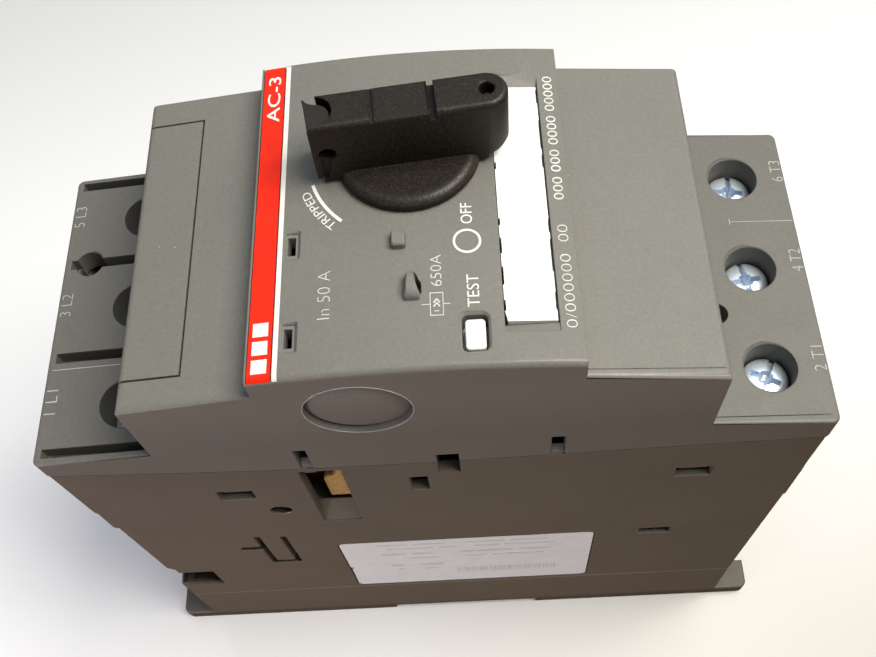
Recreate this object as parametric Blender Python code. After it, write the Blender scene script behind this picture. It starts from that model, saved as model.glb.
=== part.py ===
"""Three-pole motor protection breaker with a rotary handle, built from separate working pieces.

The breaker lies on its back. +Z points out of its front face, -X is the line side and +X the
load side, and the three poles lie beside each other along Y. The origin is the middle of its
back. Sizes below are in millimetres; mesh_object() turns them into metres.
"""
import math

import bmesh
import bpy
from mathutils import Vector

MM = 0.001
GAP = 0.3                                   # between pieces that touch
SHARP_FROM = math.radians(35.0)             # edges that turn more than this stay crisp

# Driving dimensions
HALF_WIDTH = 27.5                           # along Y
WALL = 2.2
POLES = {"1": -18.0, "2": 0.0, "3": 18.0}   # y of each pole
PARTITION_Y = (-9.0, 9.0)
PARTITION = 1.6

FOOT_END_X = 68.5
FOOT_FLANGE = 4.0
FOOT_TOP = 22.5
RAIL_HALF = 17.9                            # half of a 35 mm rail, with play
RAIL_DEPTH = 2.8

BASE_FLOOR = 25.0
BASE_HALF_LOW = 61.2                        # the lower housing has a slight draft
BASE_HALF_HIGH = 62.2
PARTING = ((-62.6, 102.4), (-41.0, 100.6), (-24.5, 99.5), (0.0, 99.3), (20.0, 100.0),
           (43.0, 100.8), (62.6, 101.2))    # the seam between the housings, as (x, z)

DECK_END_Z = 107.3                          # the terminal decks rise towards the cover
DECK_INNER_Z = 108.8
BLOCK_HALF = 43.0                           # the middle block, gently domed
BLOCK_END_Z = 125.7
BLOCK_INNER_Z = 127.9
FRONT_HALF = 23.0                           # the raised front section, arched
FRONT_EDGE_Z = 132.3
FRONT_TOP_Z = 133.8

HANDLE_AXIS = (0.0, 8.0)
HANDLE_TURN = math.radians(5.0)             # how far past the ON mark the handle stands
HANDLE_TOP_Z = 145.6
DISC_RADIUS = 10.7

LINE_SCREW_X = -48.5
LOAD_SCREW_X = 53.6
TERMINALS = {f"{side}{number}": (x, y)
             for side, x in (("l", LINE_SCREW_X), ("t", LOAD_SCREW_X))
             for number, y in POLES.items()}

SHAFT_RADIUS = 4.1                          # round opening over each terminal screw
SCREW_RADIUS = 3.8
SCREW_TOP_Z = 102.4
CAGE_X = 6.0                                # half of a clamp cage's length
CAGE_Y = 6.8
CAGE_LOW = 72.0
CAGE_TOP = 93.3
CAGE_WALL = 2.0
BAR_Z = (87.5, 89.1)                        # the flat copper bars held in the cages

CONTACT_X = -3.0                            # the contact carrier's middle
COIL_X = 34.0
CARRIER_TRAVEL = 5.0
CAM_SWEEP = math.radians(85.0)

GRIP_HALF_LOW = 3.4                         # the handle's bar narrows towards its top
GRIP_HALF_TOP = 2.6
GRIP_ENDS = (-13.4, 14.9)                   # from the handle's axis
GROOVE_X = 4.1
SCOOP_HALF = 2.2                            # opening at the bar's tip for the padlock slide
LOCK_HOLE = (-11.3, 139.4)                  # from the axis, and z
LOCK_HOLE_RADIUS = 1.6


# Shapes, each a closed mesh in millimetres

def loft(sections, axis="Z"):
    """Skin over outlines that have the same number of points, each at its own height."""
    mesh = bmesh.new()
    order = {"X": (2, 0, 1), "Y": (0, 2, 1), "Z": (0, 1, 2)}[axis]
    rings = []
    for outline, height in sections:
        points = [(u, v, height) for u, v in outline]
        rings.append([mesh.verts.new([point[i] for i in order]) for point in points])
    for low, high in zip(rings, rings[1:]):
        for here in range(len(low)):
            there = (here + 1) % len(low)
            mesh.faces.new((low[here], low[there], high[there], high[here]))
    mesh.faces.new(rings[0])
    mesh.faces.new(rings[-1])
    bmesh.ops.recalc_face_normals(mesh, faces=mesh.faces)
    return mesh


def prism(outline, low, high, axis="Y"):
    return loft([(outline, low), (outline, high)], axis)


def box(x, y, z):
    """A block from its (low, high) range along each axis."""
    outline = [(x[0], y[0]), (x[1], y[0]), (x[1], y[1]), (x[0], y[1])]
    return prism(outline, z[0], z[1], "Z")


def arc(centre, radius, start, end, steps):
    """Points along an arc, its angles in degrees."""
    points = []
    for step in range(steps + 1):
        angle = math.radians(start + (end - start) * step / steps)
        points.append((centre[0] + radius * math.cos(angle), centre[1] + radius * math.sin(angle)))
    return points


def circle(centre, radius, sides=24):
    return arc(centre, radius, 0.0, 360.0, sides)[:-1]


def rounded(x, y, radius, steps=3):
    """A rectangle's outline with rounded corners."""
    outline = []
    corners = ((x[1], y[1], 0), (x[0], y[1], 90), (x[0], y[0], 180), (x[1], y[0], 270))
    for corner_x, corner_y, angle in corners:
        centre = (corner_x - math.copysign(radius, corner_x - sum(x) / 2),
                  corner_y - math.copysign(radius, corner_y - sum(y) / 2))
        outline += arc(centre, radius, angle, angle + 90, steps)
    return outline


def rod(centre, radius, low, high, axis="Z", sides=24):
    return prism(circle(centre, radius, sides), low, high, axis)


def tube(points, radius, sides):
    """A round bar along points, closed at both ends."""
    mesh = bmesh.new()
    path = [Vector(point) for point in points]
    across = None
    rings = []
    for index, point in enumerate(path):
        ahead = path[min(index + 1, len(path) - 1)] - path[max(index - 1, 0)]
        ahead.normalize()
        if across is None:
            across = ahead.orthogonal()
        across = (across - ahead * across.dot(ahead)).normalized()
        up = ahead.cross(across)
        ring = []
        for side in range(sides):
            angle = 2 * math.pi * side / sides
            offset = (across * math.cos(angle) + up * math.sin(angle)) * radius
            ring.append(mesh.verts.new(point + offset))
        rings.append(ring)
    for low, high in zip(rings, rings[1:]):
        for here in range(sides):
            there = (here + 1) % sides
            mesh.faces.new((low[here], low[there], high[there], high[here]))
    mesh.faces.new(rings[0])
    mesh.faces.new(rings[-1])
    bmesh.ops.recalc_face_normals(mesh, faces=mesh.faces)
    return mesh


def helix(centre, radius, low, high, turns, axis="Z", steps=10):
    """Points along a coil round the line through centre, from low to high."""
    points = []
    count = round(turns * steps)
    for step in range(count + 1):
        angle = 2 * math.pi * step / steps
        u = centre[0] + radius * math.cos(angle)
        v = centre[1] + radius * math.sin(angle)
        w = low + (high - low) * step / count
        points.append({"X": (w, u, v), "Y": (u, w, v), "Z": (u, v, w)}[axis])
    return points


def seam(x):
    """Height of the seam between the two housings."""
    for (x0, z0), (x1, z1) in zip(PARTING, PARTING[1:]):
        if x <= x1:
            return z0 + (z1 - z0) * (x - x0) / (x1 - x0)
    return PARTING[-1][1]


def front_z(x):
    """Height of the arched front face."""
    return FRONT_TOP_Z - (FRONT_TOP_Z - FRONT_EDGE_Z) * (x / FRONT_HALF) ** 2


def block_z(x):
    """Height of the middle block's top, beside the raised section."""
    share = (BLOCK_HALF - abs(x)) / (BLOCK_HALF - FRONT_HALF)
    return BLOCK_END_Z + (BLOCK_INNER_Z - BLOCK_END_Z) * share


# Objects

def material(name, colour, roughness, metallic=0.0):
    finish = bpy.data.materials.new(name)
    finish.use_nodes = True
    shader = finish.node_tree.nodes["Principled BSDF"]
    shader.inputs["Base Color"].default_value = (*colour, 1.0)
    shader.inputs["Roughness"].default_value = roughness
    shader.inputs["Metallic"].default_value = metallic
    finish.diffuse_color = (*colour, 1.0)
    return finish


def mesh_object(name, shape, origin):
    """An object whose mesh is the shape, in metres, about its own origin, with round sides smooth."""
    bmesh.ops.translate(shape, verts=shape.verts, vec=[-value for value in origin])
    bmesh.ops.scale(shape, verts=shape.verts, vec=(MM, MM, MM))
    mesh = bpy.data.meshes.new(name)
    shape.to_mesh(mesh)
    shape.free()
    mesh.shade_smooth()
    mesh.set_sharp_from_angle(angle=SHARP_FROM)
    thing = bpy.data.objects.new(name, mesh)
    bpy.context.scene.collection.objects.link(thing)
    return thing


def piece(name, finish, shape, steps=(), origin=(0, 0, 0), turn=0.0, bevel=0.0):
    """One sub-part: a shape, then the shapes joined to it or cut from it, in order."""
    thing = mesh_object(name, shape, origin)
    thing.data.materials.append(finish)
    thing.location = [value * MM for value in origin]
    thing.rotation_euler.z = turn
    if bevel:
        edges = thing.modifiers.new("Edges", "BEVEL")
        edges.width = bevel * MM
        edges.segments = 1
        edges.limit_method = "ANGLE"
    for number, (action, other) in enumerate(steps):
        tool = mesh_object(f"{name}_{action}_{number}", other, origin)
        tool.parent = thing
        tool.hide_render = True
        tool.display_type = "WIRE"
        change = thing.modifiers.new(f"{action} {number}", "BOOLEAN")
        change.operation = {"join": "UNION", "cut": "DIFFERENCE"}[action]
        change.solver = "EXACT"
        change.object = tool
    return thing


# Housing

def near_wall_cuts():
    """Openings in the lower housing's near wall, as (x range, z range)."""
    return (
        ((-22.1, -15.2), (71.5, 98.1)),     # window over the side driver
        ((0.7, 4.3), (94.5, 104.0)),        # notch across the seam
        ((-4.4, -1.4), (86.5, 92.9)),
        ((37.5, 43.6), (53.4, 56.9)),
        ((-37.3, -36.3), (45.6, 63.8)),     # the two legs and the foot of a moulded tongue
        ((-32.3, -31.3), (45.7, 63.4)),
        ((-36.9, -31.7), (45.6, 46.6)),
        ((-41.6, -36.8), (55.9, 56.9)),
        ((-64.0, -51.8), (30.6, 40.6)),     # pocket at the near line-side corner
    )


SIDE_LABEL = ((-22.1, 28.6), (24.4, 56.2))  # x and z
SNAP_WINDOWS = ((-37.7, -31.6), (40.1, 46.3))
SNAP_WINDOW_Z = (86.3, 90.6)
ENTRY_Z = (74.5, 87.0)
ENTRY_HALF = 6.2


def rear_base(plastic):
    flange = prism(rounded((-FOOT_END_X, FOOT_END_X), (-HALF_WIDTH, HALF_WIDTH), 4.0),
                   0.0, FOOT_FLANGE, "Z")
    block = prism([(-61.0, 1.0), (61.0, 1.0), (61.0, FOOT_TOP), (-61.0, FOOT_TOP)],
                  -HALF_WIDTH, HALF_WIDTH)
    hollow = box((-58.5, 58.5), (-25.0, 25.0), (6.0, 30.0))
    channel = prism([(-16.2, -1.0), (-16.2, 1.5), (-RAIL_HALF, 1.5), (-RAIL_HALF, RAIL_DEPTH),
                     (RAIL_HALF, RAIL_DEPTH), (RAIL_HALF, -1.0)], -30.0, 30.0)
    steps = [("join", block), ("cut", hollow), ("cut", channel),
             ("cut", box((17.0, 75.0), (-7.0, 7.0), (-1.0, 3.8))),
             ("cut", box((22.0, 75.0), (-9.0, 9.0), (1.9, 3.8))),
             ("cut", box((61.2, 75.0), (-9.0, 9.0), (-1.0, 6.0))),
             ("join", box((44.0, 45.7), (-2.0, 2.0), (1.0, 5.0)))]
    for side in (-1, 1):
        for y in (-19.0, 19.0):
            slot = rod((side * 65.0, y), 2.2, -1.0, 6.0, sides=16)
            mouth = box(sorted((side * 65.0, side * 72.0)), (y - 2.2, y + 2.2), (-1.0, 6.0))
            steps += [("cut", slot), ("cut", mouth)]
    return piece("rear_base", plastic, flange, steps)


def base_housing(plastic):
    outline = [(-BASE_HALF_LOW, FOOT_TOP + GAP), (BASE_HALF_LOW, FOOT_TOP + GAP)]
    seam_x = [BASE_HALF_HIGH] + [x for x, _ in reversed(PARTING[1:-1])] + [-BASE_HALF_HIGH]
    outline += [(x, seam(x) - GAP / 2) for x in seam_x]
    steps = []
    for side in (-1, 1):
        frame = box(sorted((side * 60.5, side * 63.0)), (-26.2, 26.2), (69.6, 84.6))
        steps.append(("join", frame))
    inner = HALF_WIDTH - WALL
    edges = (-inner, PARTITION_Y[0] - PARTITION / 2, PARTITION_Y[0] + PARTITION / 2,
             PARTITION_Y[1] - PARTITION / 2, PARTITION_Y[1] + PARTITION / 2, inner)
    for low, high in zip(edges[::2], edges[1::2]):
        chamber = [(-59.4, BASE_FLOOR), (59.4, BASE_FLOOR), (60.0, 110.0), (-60.0, 110.0)]
        steps.append(("cut", prism(chamber, low, high)))
    steps.append(("cut", box((CONTACT_X - 6.0, CONTACT_X + 6.0), (-12.0, 12.0), (94.5, 110.0))))
    for side in (-1, 1):
        for y in POLES.values():
            mouth = box(sorted((side * 55.0, side * 66.0)), (y - ENTRY_HALF, y + ENTRY_HALF), ENTRY_Z)
            steps.append(("cut", mouth))
    for x, z in near_wall_cuts():
        steps.append(("cut", box(x, (-30.0, -24.4), z)))
    for x in SNAP_WINDOWS:
        for y in ((-30.0, -24.4), (24.4, 30.0)):
            steps.append(("cut", box(x, y, SNAP_WINDOW_Z)))
    label_x, label_z = SIDE_LABEL
    steps.append(("cut", box((label_x[0] - GAP, label_x[1] + GAP), (-30.0, -HALF_WIDTH + 0.5),
                             (label_z[0] - GAP, label_z[1] + GAP))))
    steps.append(("cut", rod((-28.7, 79.4), 1.95, -30.0, -24.4, "Y", 16)))
    relief = [(-64.0, -23.9), (-58.8, -29.0), (-64.0, -29.0)]
    steps.append(("cut", prism(relief, 42.0, 78.6, "Z")))
    return piece("base_housing", plastic, prism(outline, -HALF_WIDTH, HALF_WIDTH), steps, bevel=0.6)


def snap_leg(x, side):
    """A leg under the front cover whose hook stands in the lower housing's window."""
    profile = [(23.4, 86.9), (25.0, 86.9), (26.9, 88.6), (26.9, 89.6), (25.0, 89.6), (25.0, 102.2),
               (26.2, 102.2), (26.2, 106.8), (23.4, 106.8)]
    outline = [(side * y, z) for y, z in profile]
    return prism(outline, x[0] + 0.7, x[1] - 0.7, "X")


def front_cover(plastic):
    end = PARTING[-1][0]
    arch = [(x, front_z(x)) for x in [FRONT_HALF * step / 4 for step in range(-4, 5)]]
    outline = [(-end, DECK_END_Z), (-BLOCK_HALF, DECK_INNER_Z), (-BLOCK_HALF, BLOCK_END_Z),
               (-FRONT_HALF, BLOCK_INNER_Z), *arch, (FRONT_HALF, BLOCK_INNER_Z),
               (BLOCK_HALF, BLOCK_END_Z), (BLOCK_HALF, DECK_INNER_Z), (end, DECK_END_Z)]
    outline += [(x, z + GAP / 2) for x, z in reversed(PARTING)]
    hollow = [(-60.2, 90.0), (-60.2, 103.0), (-40.8, 103.0), (-40.8, 122.6), (-20.8, 124.8),
              (-20.8, 129.8), (20.8, 129.8), (20.8, 125.4), (40.8, 123.2), (40.8, 103.0),
              (60.2, 103.0), (60.2, 90.0)]
    inner = HALF_WIDTH - WALL
    steps = [("cut", prism(hollow, -inner, inner))]
    for x, y in TERMINALS.values():
        steps.append(("cut", rod((x, y), SHAFT_RADIUS, 95.0, 115.0)))
    # line side: round hole and slots between the poles
    steps.append(("cut", rod((-58.0, 9.2), 2.4, 95.0, 115.0, sides=16)))
    for low, high in ((-26.4, -24.9), (-9.8, -8.0), (8.3, 10.1), (24.9, 26.5)):
        steps.append(("cut", box((-61.3, -43.3), (low, high), (105.5, 115.0))))
    steps.append(("cut", rod((46.8, -8.4), 2.0, 105.5, 115.0, sides=12)))
    # handle, test button and the two slots beside the strip
    steps.append(("cut", rod(HANDLE_AXIS, 4.6, 120.0, 140.0)))
    steps.append(("cut", prism(rounded((6.6, 10.2), (-25.05, -19.5), 0.8, 2), 120.0, 140.0, "Z")))
    for low, high in ((-22.65, -19.7), (-7.9, -4.9)):
        steps.append(("cut", box((-17.4, -16.55), (low, high), (120.0, 140.0))))
    # label recess, strip recess and the bay of the auxiliary cover
    steps.append(("cut", box((12.4, 19.8), (-22.3, 22.3), (131.4, 140.0))))
    steps.append(("cut", prism([(-22.7, 131.85), (-19.1, 132.3), (-19.1, 140.0), (-22.7, 140.0)],
                               -30.0, 30.0)))
    bay = [(-44.0, 122.6), (-33.5, 123.8), (-33.5, 130.0), (-44.0, 130.0)]
    steps.append(("cut", prism(bay, -23.0, 23.0)))
    # dish and notches in the near wall
    steps.append(("cut", rod((-9.0, 121.6), 7.9, -30.0, -27.1, "Y", 28)))
    for x, z in (((-21.2, -19.3), (98.0, 107.4)), ((18.9, 21.1), (98.0, 107.5)),
                 ((0.7, 4.3), (98.0, 102.6))):
        steps.append(("cut", box(x, (-30.0, -24.4), z)))
    # square peg and hooded bump on the front face
    steps.append(("join", loft([(rounded((-2.7, -0.7), (-8.7, -5.4), 0.4, 1), 132.0),
                                (rounded((-2.5, -0.9), (-8.4, -5.6), 0.4, 1), 134.9)], "Z")))
    hood = [(-17.0, 132.0), (-17.0, 133.9), (-14.6, 135.4), (-13.2, 135.3), (-12.4, 134.2),
            (-12.4, 132.0)]
    steps.append(("join", prism(hood, -1.0, 1.0, "X")))
    for x in SNAP_WINDOWS:
        for side in (-1, 1):
            steps.append(("join", snap_leg(x, side)))
    return piece("front_cover", plastic, prism(outline, -HALF_WIDTH, HALF_WIDTH), steps, bevel=0.6)


def aux_cover(plastic):
    """The snap-in cover over the bay for auxiliary contacts."""
    outline = [(-43.0, 122.9), (-33.8, 124.1), (-33.8, block_z(-33.8)), (-43.0, BLOCK_END_Z)]
    piece("aux_cover", plastic, prism(outline, -22.7, 22.7), bevel=0.4)


def labels(white, red, grey):
    plate = prism([(12.8, 131.7), (19.5, 131.7), (19.5, front_z(19.5) + 0.05),
                   (12.8, front_z(12.8) + 0.05)], -20.6, 20.6)
    piece("front_label", white, plate)
    strip = prism([(-22.5, 132.17), (-19.3, 132.6), (-19.3, front_z(-19.3) + 0.05),
                   (-22.5, front_z(-22.5) + 0.05)], -27.3, 27.3)
    piece("marking_strip", red, strip)
    sticker = prism(rounded(*SIDE_LABEL, 1.5, 3), -HALF_WIDTH, -HALF_WIDTH + 0.2, "Y")
    piece("side_label", grey, sticker)


# Terminals and conductors

def terminal(name, x, y, zinc, steel):
    cage = box((x - CAGE_X, x + CAGE_X), (y - CAGE_Y, y + CAGE_Y), (CAGE_LOW, CAGE_TOP))
    window = box((x - 9.0, x + 9.0), (y - CAGE_Y + 1.6, y + CAGE_Y - 1.6),
                 (CAGE_LOW + CAGE_WALL, CAGE_TOP - CAGE_WALL))
    piece(f"clamp_cage_{name}", steel, cage,
          [("cut", window), ("cut", rod((x, y), 2.9, CAGE_TOP - 3.0, CAGE_TOP + 2.0, sides=16))],
          origin=(x, y, 0))
    head = loft([(circle((x, y), SCREW_RADIUS, 20), 99.3),
                 (circle((x, y), SCREW_RADIUS, 20), SCREW_TOP_Z - 0.6),
                 (circle((x, y), SCREW_RADIUS - 0.6, 20), SCREW_TOP_Z)])
    steps = [("join", rod((x, y), 2.5, BAR_Z[1] + 0.4, 99.6, sides=12)),
             ("cut", box((x - 5.0, x + 5.0), (y - 0.5, y + 0.5), (SCREW_TOP_Z - 1.3, 104.0))),
             ("cut", box((x - 0.45, x + 0.45), (y - 2.2, y + 2.2), (SCREW_TOP_Z - 1.8, 104.0)))]
    piece(f"terminal_screw_{name}", zinc, head, steps, origin=(x, y, 0))


def conductors(pole, y, copper, steel, fibre):
    """One pole's fixed path: line bar, load-side contact strap, coil, yoke and load bar."""
    half = 4.0
    line = [(-55.5, BAR_Z[0]), (-41.6, BAR_Z[0]), (-41.6, 77.0), (-8.0, 77.0), (-8.0, 78.6),
            (-40.0, 78.6), (-40.0, BAR_Z[1]), (-55.5, BAR_Z[1])]
    piece(f"line_bar_{pole}", copper, prism(line, y - half, y + half),
          [("join", rod((-11.0, y), 2.2, 75.8, 77.5, sides=12))])
    strap = [(2.0, 77.0), (40.8, 77.0), (40.8, 71.5), (42.4, 71.5), (42.4, 78.6), (2.0, 78.6)]
    piece(f"load_contact_{pole}", copper, prism(strap, y - half, y + half),
          [("join", rod((5.0, y), 2.2, 75.8, 77.5, sides=12)),
           ("cut", rod((COIL_X, y), 2.6, 76.0, 80.0, sides=16))])
    load = [(44.4, BAR_Z[1]), (44.4, 44.6), (41.6, 44.6), (41.6, 43.0), (46.0, 43.0),
            (46.0, BAR_Z[0]), (59.0, BAR_Z[0]), (59.0, BAR_Z[1])]
    piece(f"load_bar_{pole}", copper, prism(load, y - half, y + half))
    coil = tube(helix((COIL_X, y), 6.0, 45.0, 70.0, 5.5, steps=12), 1.0, 6)
    piece(f"trip_coil_{pole}", copper, coil)
    yoke = [(25.0, 40.0), (26.4, 40.0), (26.4, 74.6), (40.0, 74.6), (40.0, 76.0), (25.0, 76.0)]
    piece(f"coil_yoke_{pole}", steel, prism(yoke, y - 5.5, y + 5.5),
          [("cut", rod((COIL_X, y), 2.6, 73.0, 78.0, sides=16))])
    armature = rod((COIL_X, y), 3.4, 50.0, 66.0, sides=16)
    piece(f"plunger_{pole}", steel, armature,
          [("join", rod((COIL_X, y), 1.5, 60.0, 95.0, sides=12))], origin=(COIL_X, y, 0))
    for side, low, high in (("line", -36.0, -18.0), ("load", 11.0, 23.5)):
        chute = box((low, high), (y - 6.9, y - 5.9), (BASE_FLOOR + GAP, 70.0))
        plates = [("join", box((low, high), (y - 6.2, y + 6.6), (z, z + 1.2)))
                  for z in range(32, 70, 6)]
        piece(f"arc_chute_{side}_{pole}", fibre, chute, plates)


# Contact carrier, mechanism and trip bar

POST_RADIUS = 6.0
POST_ANGLE = math.atan2(-5.2, -3.0)


def post_point(radius=POST_RADIUS):
    return (HANDLE_AXIS[0] + radius * math.cos(POST_ANGLE),
            HANDLE_AXIS[1] + radius * math.sin(POST_ANGLE))


def contact_carrier(resin, copper, fibre):
    x = CONTACT_X
    bar = box((x - 4.0, x + 4.0), (-24.6, 24.6), (100.5, 105.0))
    post_x, post_y = post_point()
    steps = [("join", box((post_x - 1.2, post_x + 1.2), (post_y - 1.2, post_y + 1.2), (104.0, 114.5)))]
    for y in POLES.values():
        steps.append(("join", box((x - 3.5, x + 3.5), (y - 4.6, y + 4.6), (65.5, 101.0))))
        steps.append(("cut", box((x - 6.0, x + 6.0), (y - 3.4, y + 3.4), (69.0, 75.6))))
    piece("contact_carrier", resin, bar, steps)
    for pole, y in POLES.items():
        bridge = box((x - 11.0, x + 11.0), (y - 3.0, y + 3.0), (72.9, 74.4))
        pads = [("join", rod((x + side * 8.0, y), 2.0, 74.0, 75.5, sides=12)) for side in (-1, 1)]
        piece(f"contact_bridge_{pole}", copper, bridge, pads)
    driver = [(-19.5, 84.0), (-16.0, 84.0), (-16.0, 100.5), (x - 4.3, 100.5), (x - 4.3, 105.0),
              (-19.5, 105.0)]
    piece("side_driver", fibre, prism(driver, -24.9, -23.4))


def mechanism(steel, resin, spring_steel):
    plate = box((-16.0, 16.0), (-25.0, 24.5), (107.5, 109.0))
    post_x, post_y = post_point()
    steps = [("join", box((side * 15.4 - 0.6, side * 15.4 + 0.6), (-2.0, 20.5), (108.5, 126.0)))
             for side in (-1, 1)]
    steps.append(("cut", box((post_x - 2.0, post_x + 2.0), (post_y - 2.0, post_y + 2.0), (105.0, 111.0))))
    piece("mechanism_frame", steel, plate, steps)
    coil = tube(helix((22.0, 114.5), 1.8, -13.5, 13.5, 8, "X", 8), 0.35, 4)
    piece("mechanism_spring", spring_steel, coil)
    # the cam's ramp pushes the carrier's post down as the handle turns
    hub = rod(HANDLE_AXIS, 4.8, 117.0, 124.2)
    rings = []
    for step in range(11):
        share = step / 10
        angle = POST_ANGLE + math.radians(12.0) - share * (CAM_SWEEP + math.radians(34.0))
        behind = max(0.0, POST_ANGLE - angle - math.radians(12.0))
        low = 115.0 - min(CARRIER_TRAVEL, CARRIER_TRAVEL * behind / CAM_SWEEP)
        rings.append((angle, low))
    steps = [("join", rod(HANDLE_AXIS, 8.4, 115.0, 118.0)), ("join", cam_ramp(rings, 3.6, 8.4)),
             ("cut", box((-1.6, 1.6), (HANDLE_AXIS[1] - 6.0, HANDLE_AXIS[1] + 6.0), (120.6, 130.0)))]
    piece("drive_cam", resin, hub, steps, origin=(*HANDLE_AXIS, 0))


def cam_ramp(rings, inner, outer):
    """A ring sector under the cam's disc, its lower face at each angle's own height."""
    mesh = bmesh.new()
    loops = []
    for angle, low in rings:
        side = (math.cos(angle), math.sin(angle))
        points = ((inner, 116.0), (outer, 116.0), (outer, low - 0.01), (inner, low - 0.01))
        loops.append([mesh.verts.new((HANDLE_AXIS[0] + r * side[0], HANDLE_AXIS[1] + r * side[1], z))
                      for r, z in points])
    for here, there in zip(loops, loops[1:]):
        for corner in range(4):
            after = (corner + 1) % 4
            mesh.faces.new((here[corner], here[after], there[after], there[corner]))
    mesh.faces.new(loops[0])
    mesh.faces.new(loops[-1])
    bmesh.ops.recalc_face_normals(mesh, faces=mesh.faces)
    return mesh


TRIP_AXIS = (29.0, 104.0)                   # x and z of the trip bar's axis


def trip_bar(resin):
    bar = rod(TRIP_AXIS, 2.0, -24.8, 24.8, "Y", 12)
    steps = [("join", box((TRIP_AXIS[0] - 1.0, TRIP_AXIS[0] + 1.0), (-2.0, 2.0), (104.0, 116.0)))]
    for y in POLES.values():
        arm = [(TRIP_AXIS[0], 104.5), (36.5, 99.4), (36.5, 97.9), (32.0, 97.9),
               (TRIP_AXIS[0] - 1.0, 103.0)]
        steps.append(("join", prism(arm, y - 2.0, y + 2.0)))
    piece("trip_bar", resin, bar, steps, origin=(TRIP_AXIS[0], 0, TRIP_AXIS[1]))


# Handle, button and rail latch

def lock_hole():
    """The cross hole for a padlock, through the bar and its slide."""
    x, y = HANDLE_AXIS
    offset, z = LOCK_HOLE
    return rod((x + offset, z), LOCK_HOLE_RADIUS, y - 6.0, y + 6.0, "Y", 12)


def rotary_handle(black, tongue_plastic):
    """The handle points along -X here, and is turned as a whole."""
    x, y = HANDLE_AXIS
    disc = loft([(circle((x, y), DISC_RADIUS, 36), 134.15), (circle((x, y), DISC_RADIUS, 36), 135.2),
                 (circle((x, y), DISC_RADIUS - 0.6, 36), 135.8)])

    def bar(half, left, right):
        centre = x + right - half
        return [(x + left, y + half), (x + left, y - half), *arc((centre, y), half, -90, 90, 8)]

    left, right = GRIP_ENDS
    body = loft([(bar(GRIP_HALF_LOW, left + 0.1, right - 0.9), 134.4),
                 (bar(GRIP_HALF_LOW - 0.05, left, right), 136.2),
                 (bar(GRIP_HALF_TOP + 0.5, left + 0.2, right), HANDLE_TOP_Z - 0.5),
                 (bar(GRIP_HALF_TOP, left + 0.4, right - 0.4), HANDLE_TOP_Z)])
    scoop = prism([(x - 20.0, y - SCOOP_HALF), *arc((x - 12.6, y), SCOOP_HALF, -90, 90, 8),
                   (x - 20.0, y + SCOOP_HALF)], 137.0, 150.0, "Z")
    steps = [("join", body), ("join", rod((x, y), 4.0, 124.8, 135.0)),
             ("join", box((x - 1.3, x + 1.3), (y - 3.4, y + 3.4), (121.0, 125.5))),
             ("cut", scoop),
             ("cut", lock_hole()),
             ("cut", rod((x + 11.9, y), 1.5, 139.0, 150.0, sides=16))]
    for groove in (-GROOVE_X, GROOVE_X):
        steps.append(("cut", box((x + groove - 0.45, x + groove + 0.45), (y - 5.0, y + 5.0),
                                 (HANDLE_TOP_Z - 1.0, 150.0))))
    steps.append(("cut", box((x - 3.7, x + 3.7), (y - 5.0, y + 5.0), (HANDLE_TOP_Z - 0.3, 150.0))))
    piece("rotary_handle", black, disc, steps, origin=(x, y, 0), turn=HANDLE_TURN)
    # the padlock slide stands in the scoop at the handle's tip
    half = SCOOP_HALF - GAP
    tongue = prism([(x + left, y - half), *arc((x - 12.4, y), half, -90, 90, 6),
                    (x + left, y + half)], 137.0 + GAP, 144.3, "Z")
    piece("lock_slide", tongue_plastic, tongue,
          [("cut", lock_hole()), ("cut", rod((x - 15.2, y), 2.4, 139.0, 150.0, sides=16))],
          origin=(x, y, 0), turn=HANDLE_TURN)


def test_button(white, spring_steel):
    cap = prism(rounded((7.0, 9.8), (-24.6, -20.0), 0.6, 2), 125.0, 133.0, "Z")
    piece("test_button", white, cap, [("join", box((5.6, 11.2), (-25.0, -19.4), (127.8, 129.5)))])
    wire = tube(helix((8.4, -22.3), 1.5, 109.7, 124.3, 6, "Z", 8), 0.3, 4)
    piece("test_spring", spring_steel, wire)


def rail_latch(plastic, spring_steel):
    outline = [(16.1, 0.4), (FOOT_END_X, 0.4), (FOOT_END_X, 3.5), (19.0, 3.5), (17.6, 1.4), (16.1, 1.4)]
    piece("rail_latch", plastic, prism(outline, -6.7, 6.7),
          [("join", box((24.0, 60.0), (-8.7, 8.7), (2.2, 3.5))),
           ("cut", box((30.0, 46.2), (-2.6, 2.6), (-1.0, 5.0))),
           ("cut", box((64.6, 66.6), (-2.6, 2.6), (-1.0, 5.0)))])
    wire = tube(helix((0.0, 2.1), 1.2, 30.7, 43.3, 6, "X", 8), 0.3, 4)
    piece("rail_latch_spring", spring_steel, wire)


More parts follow.
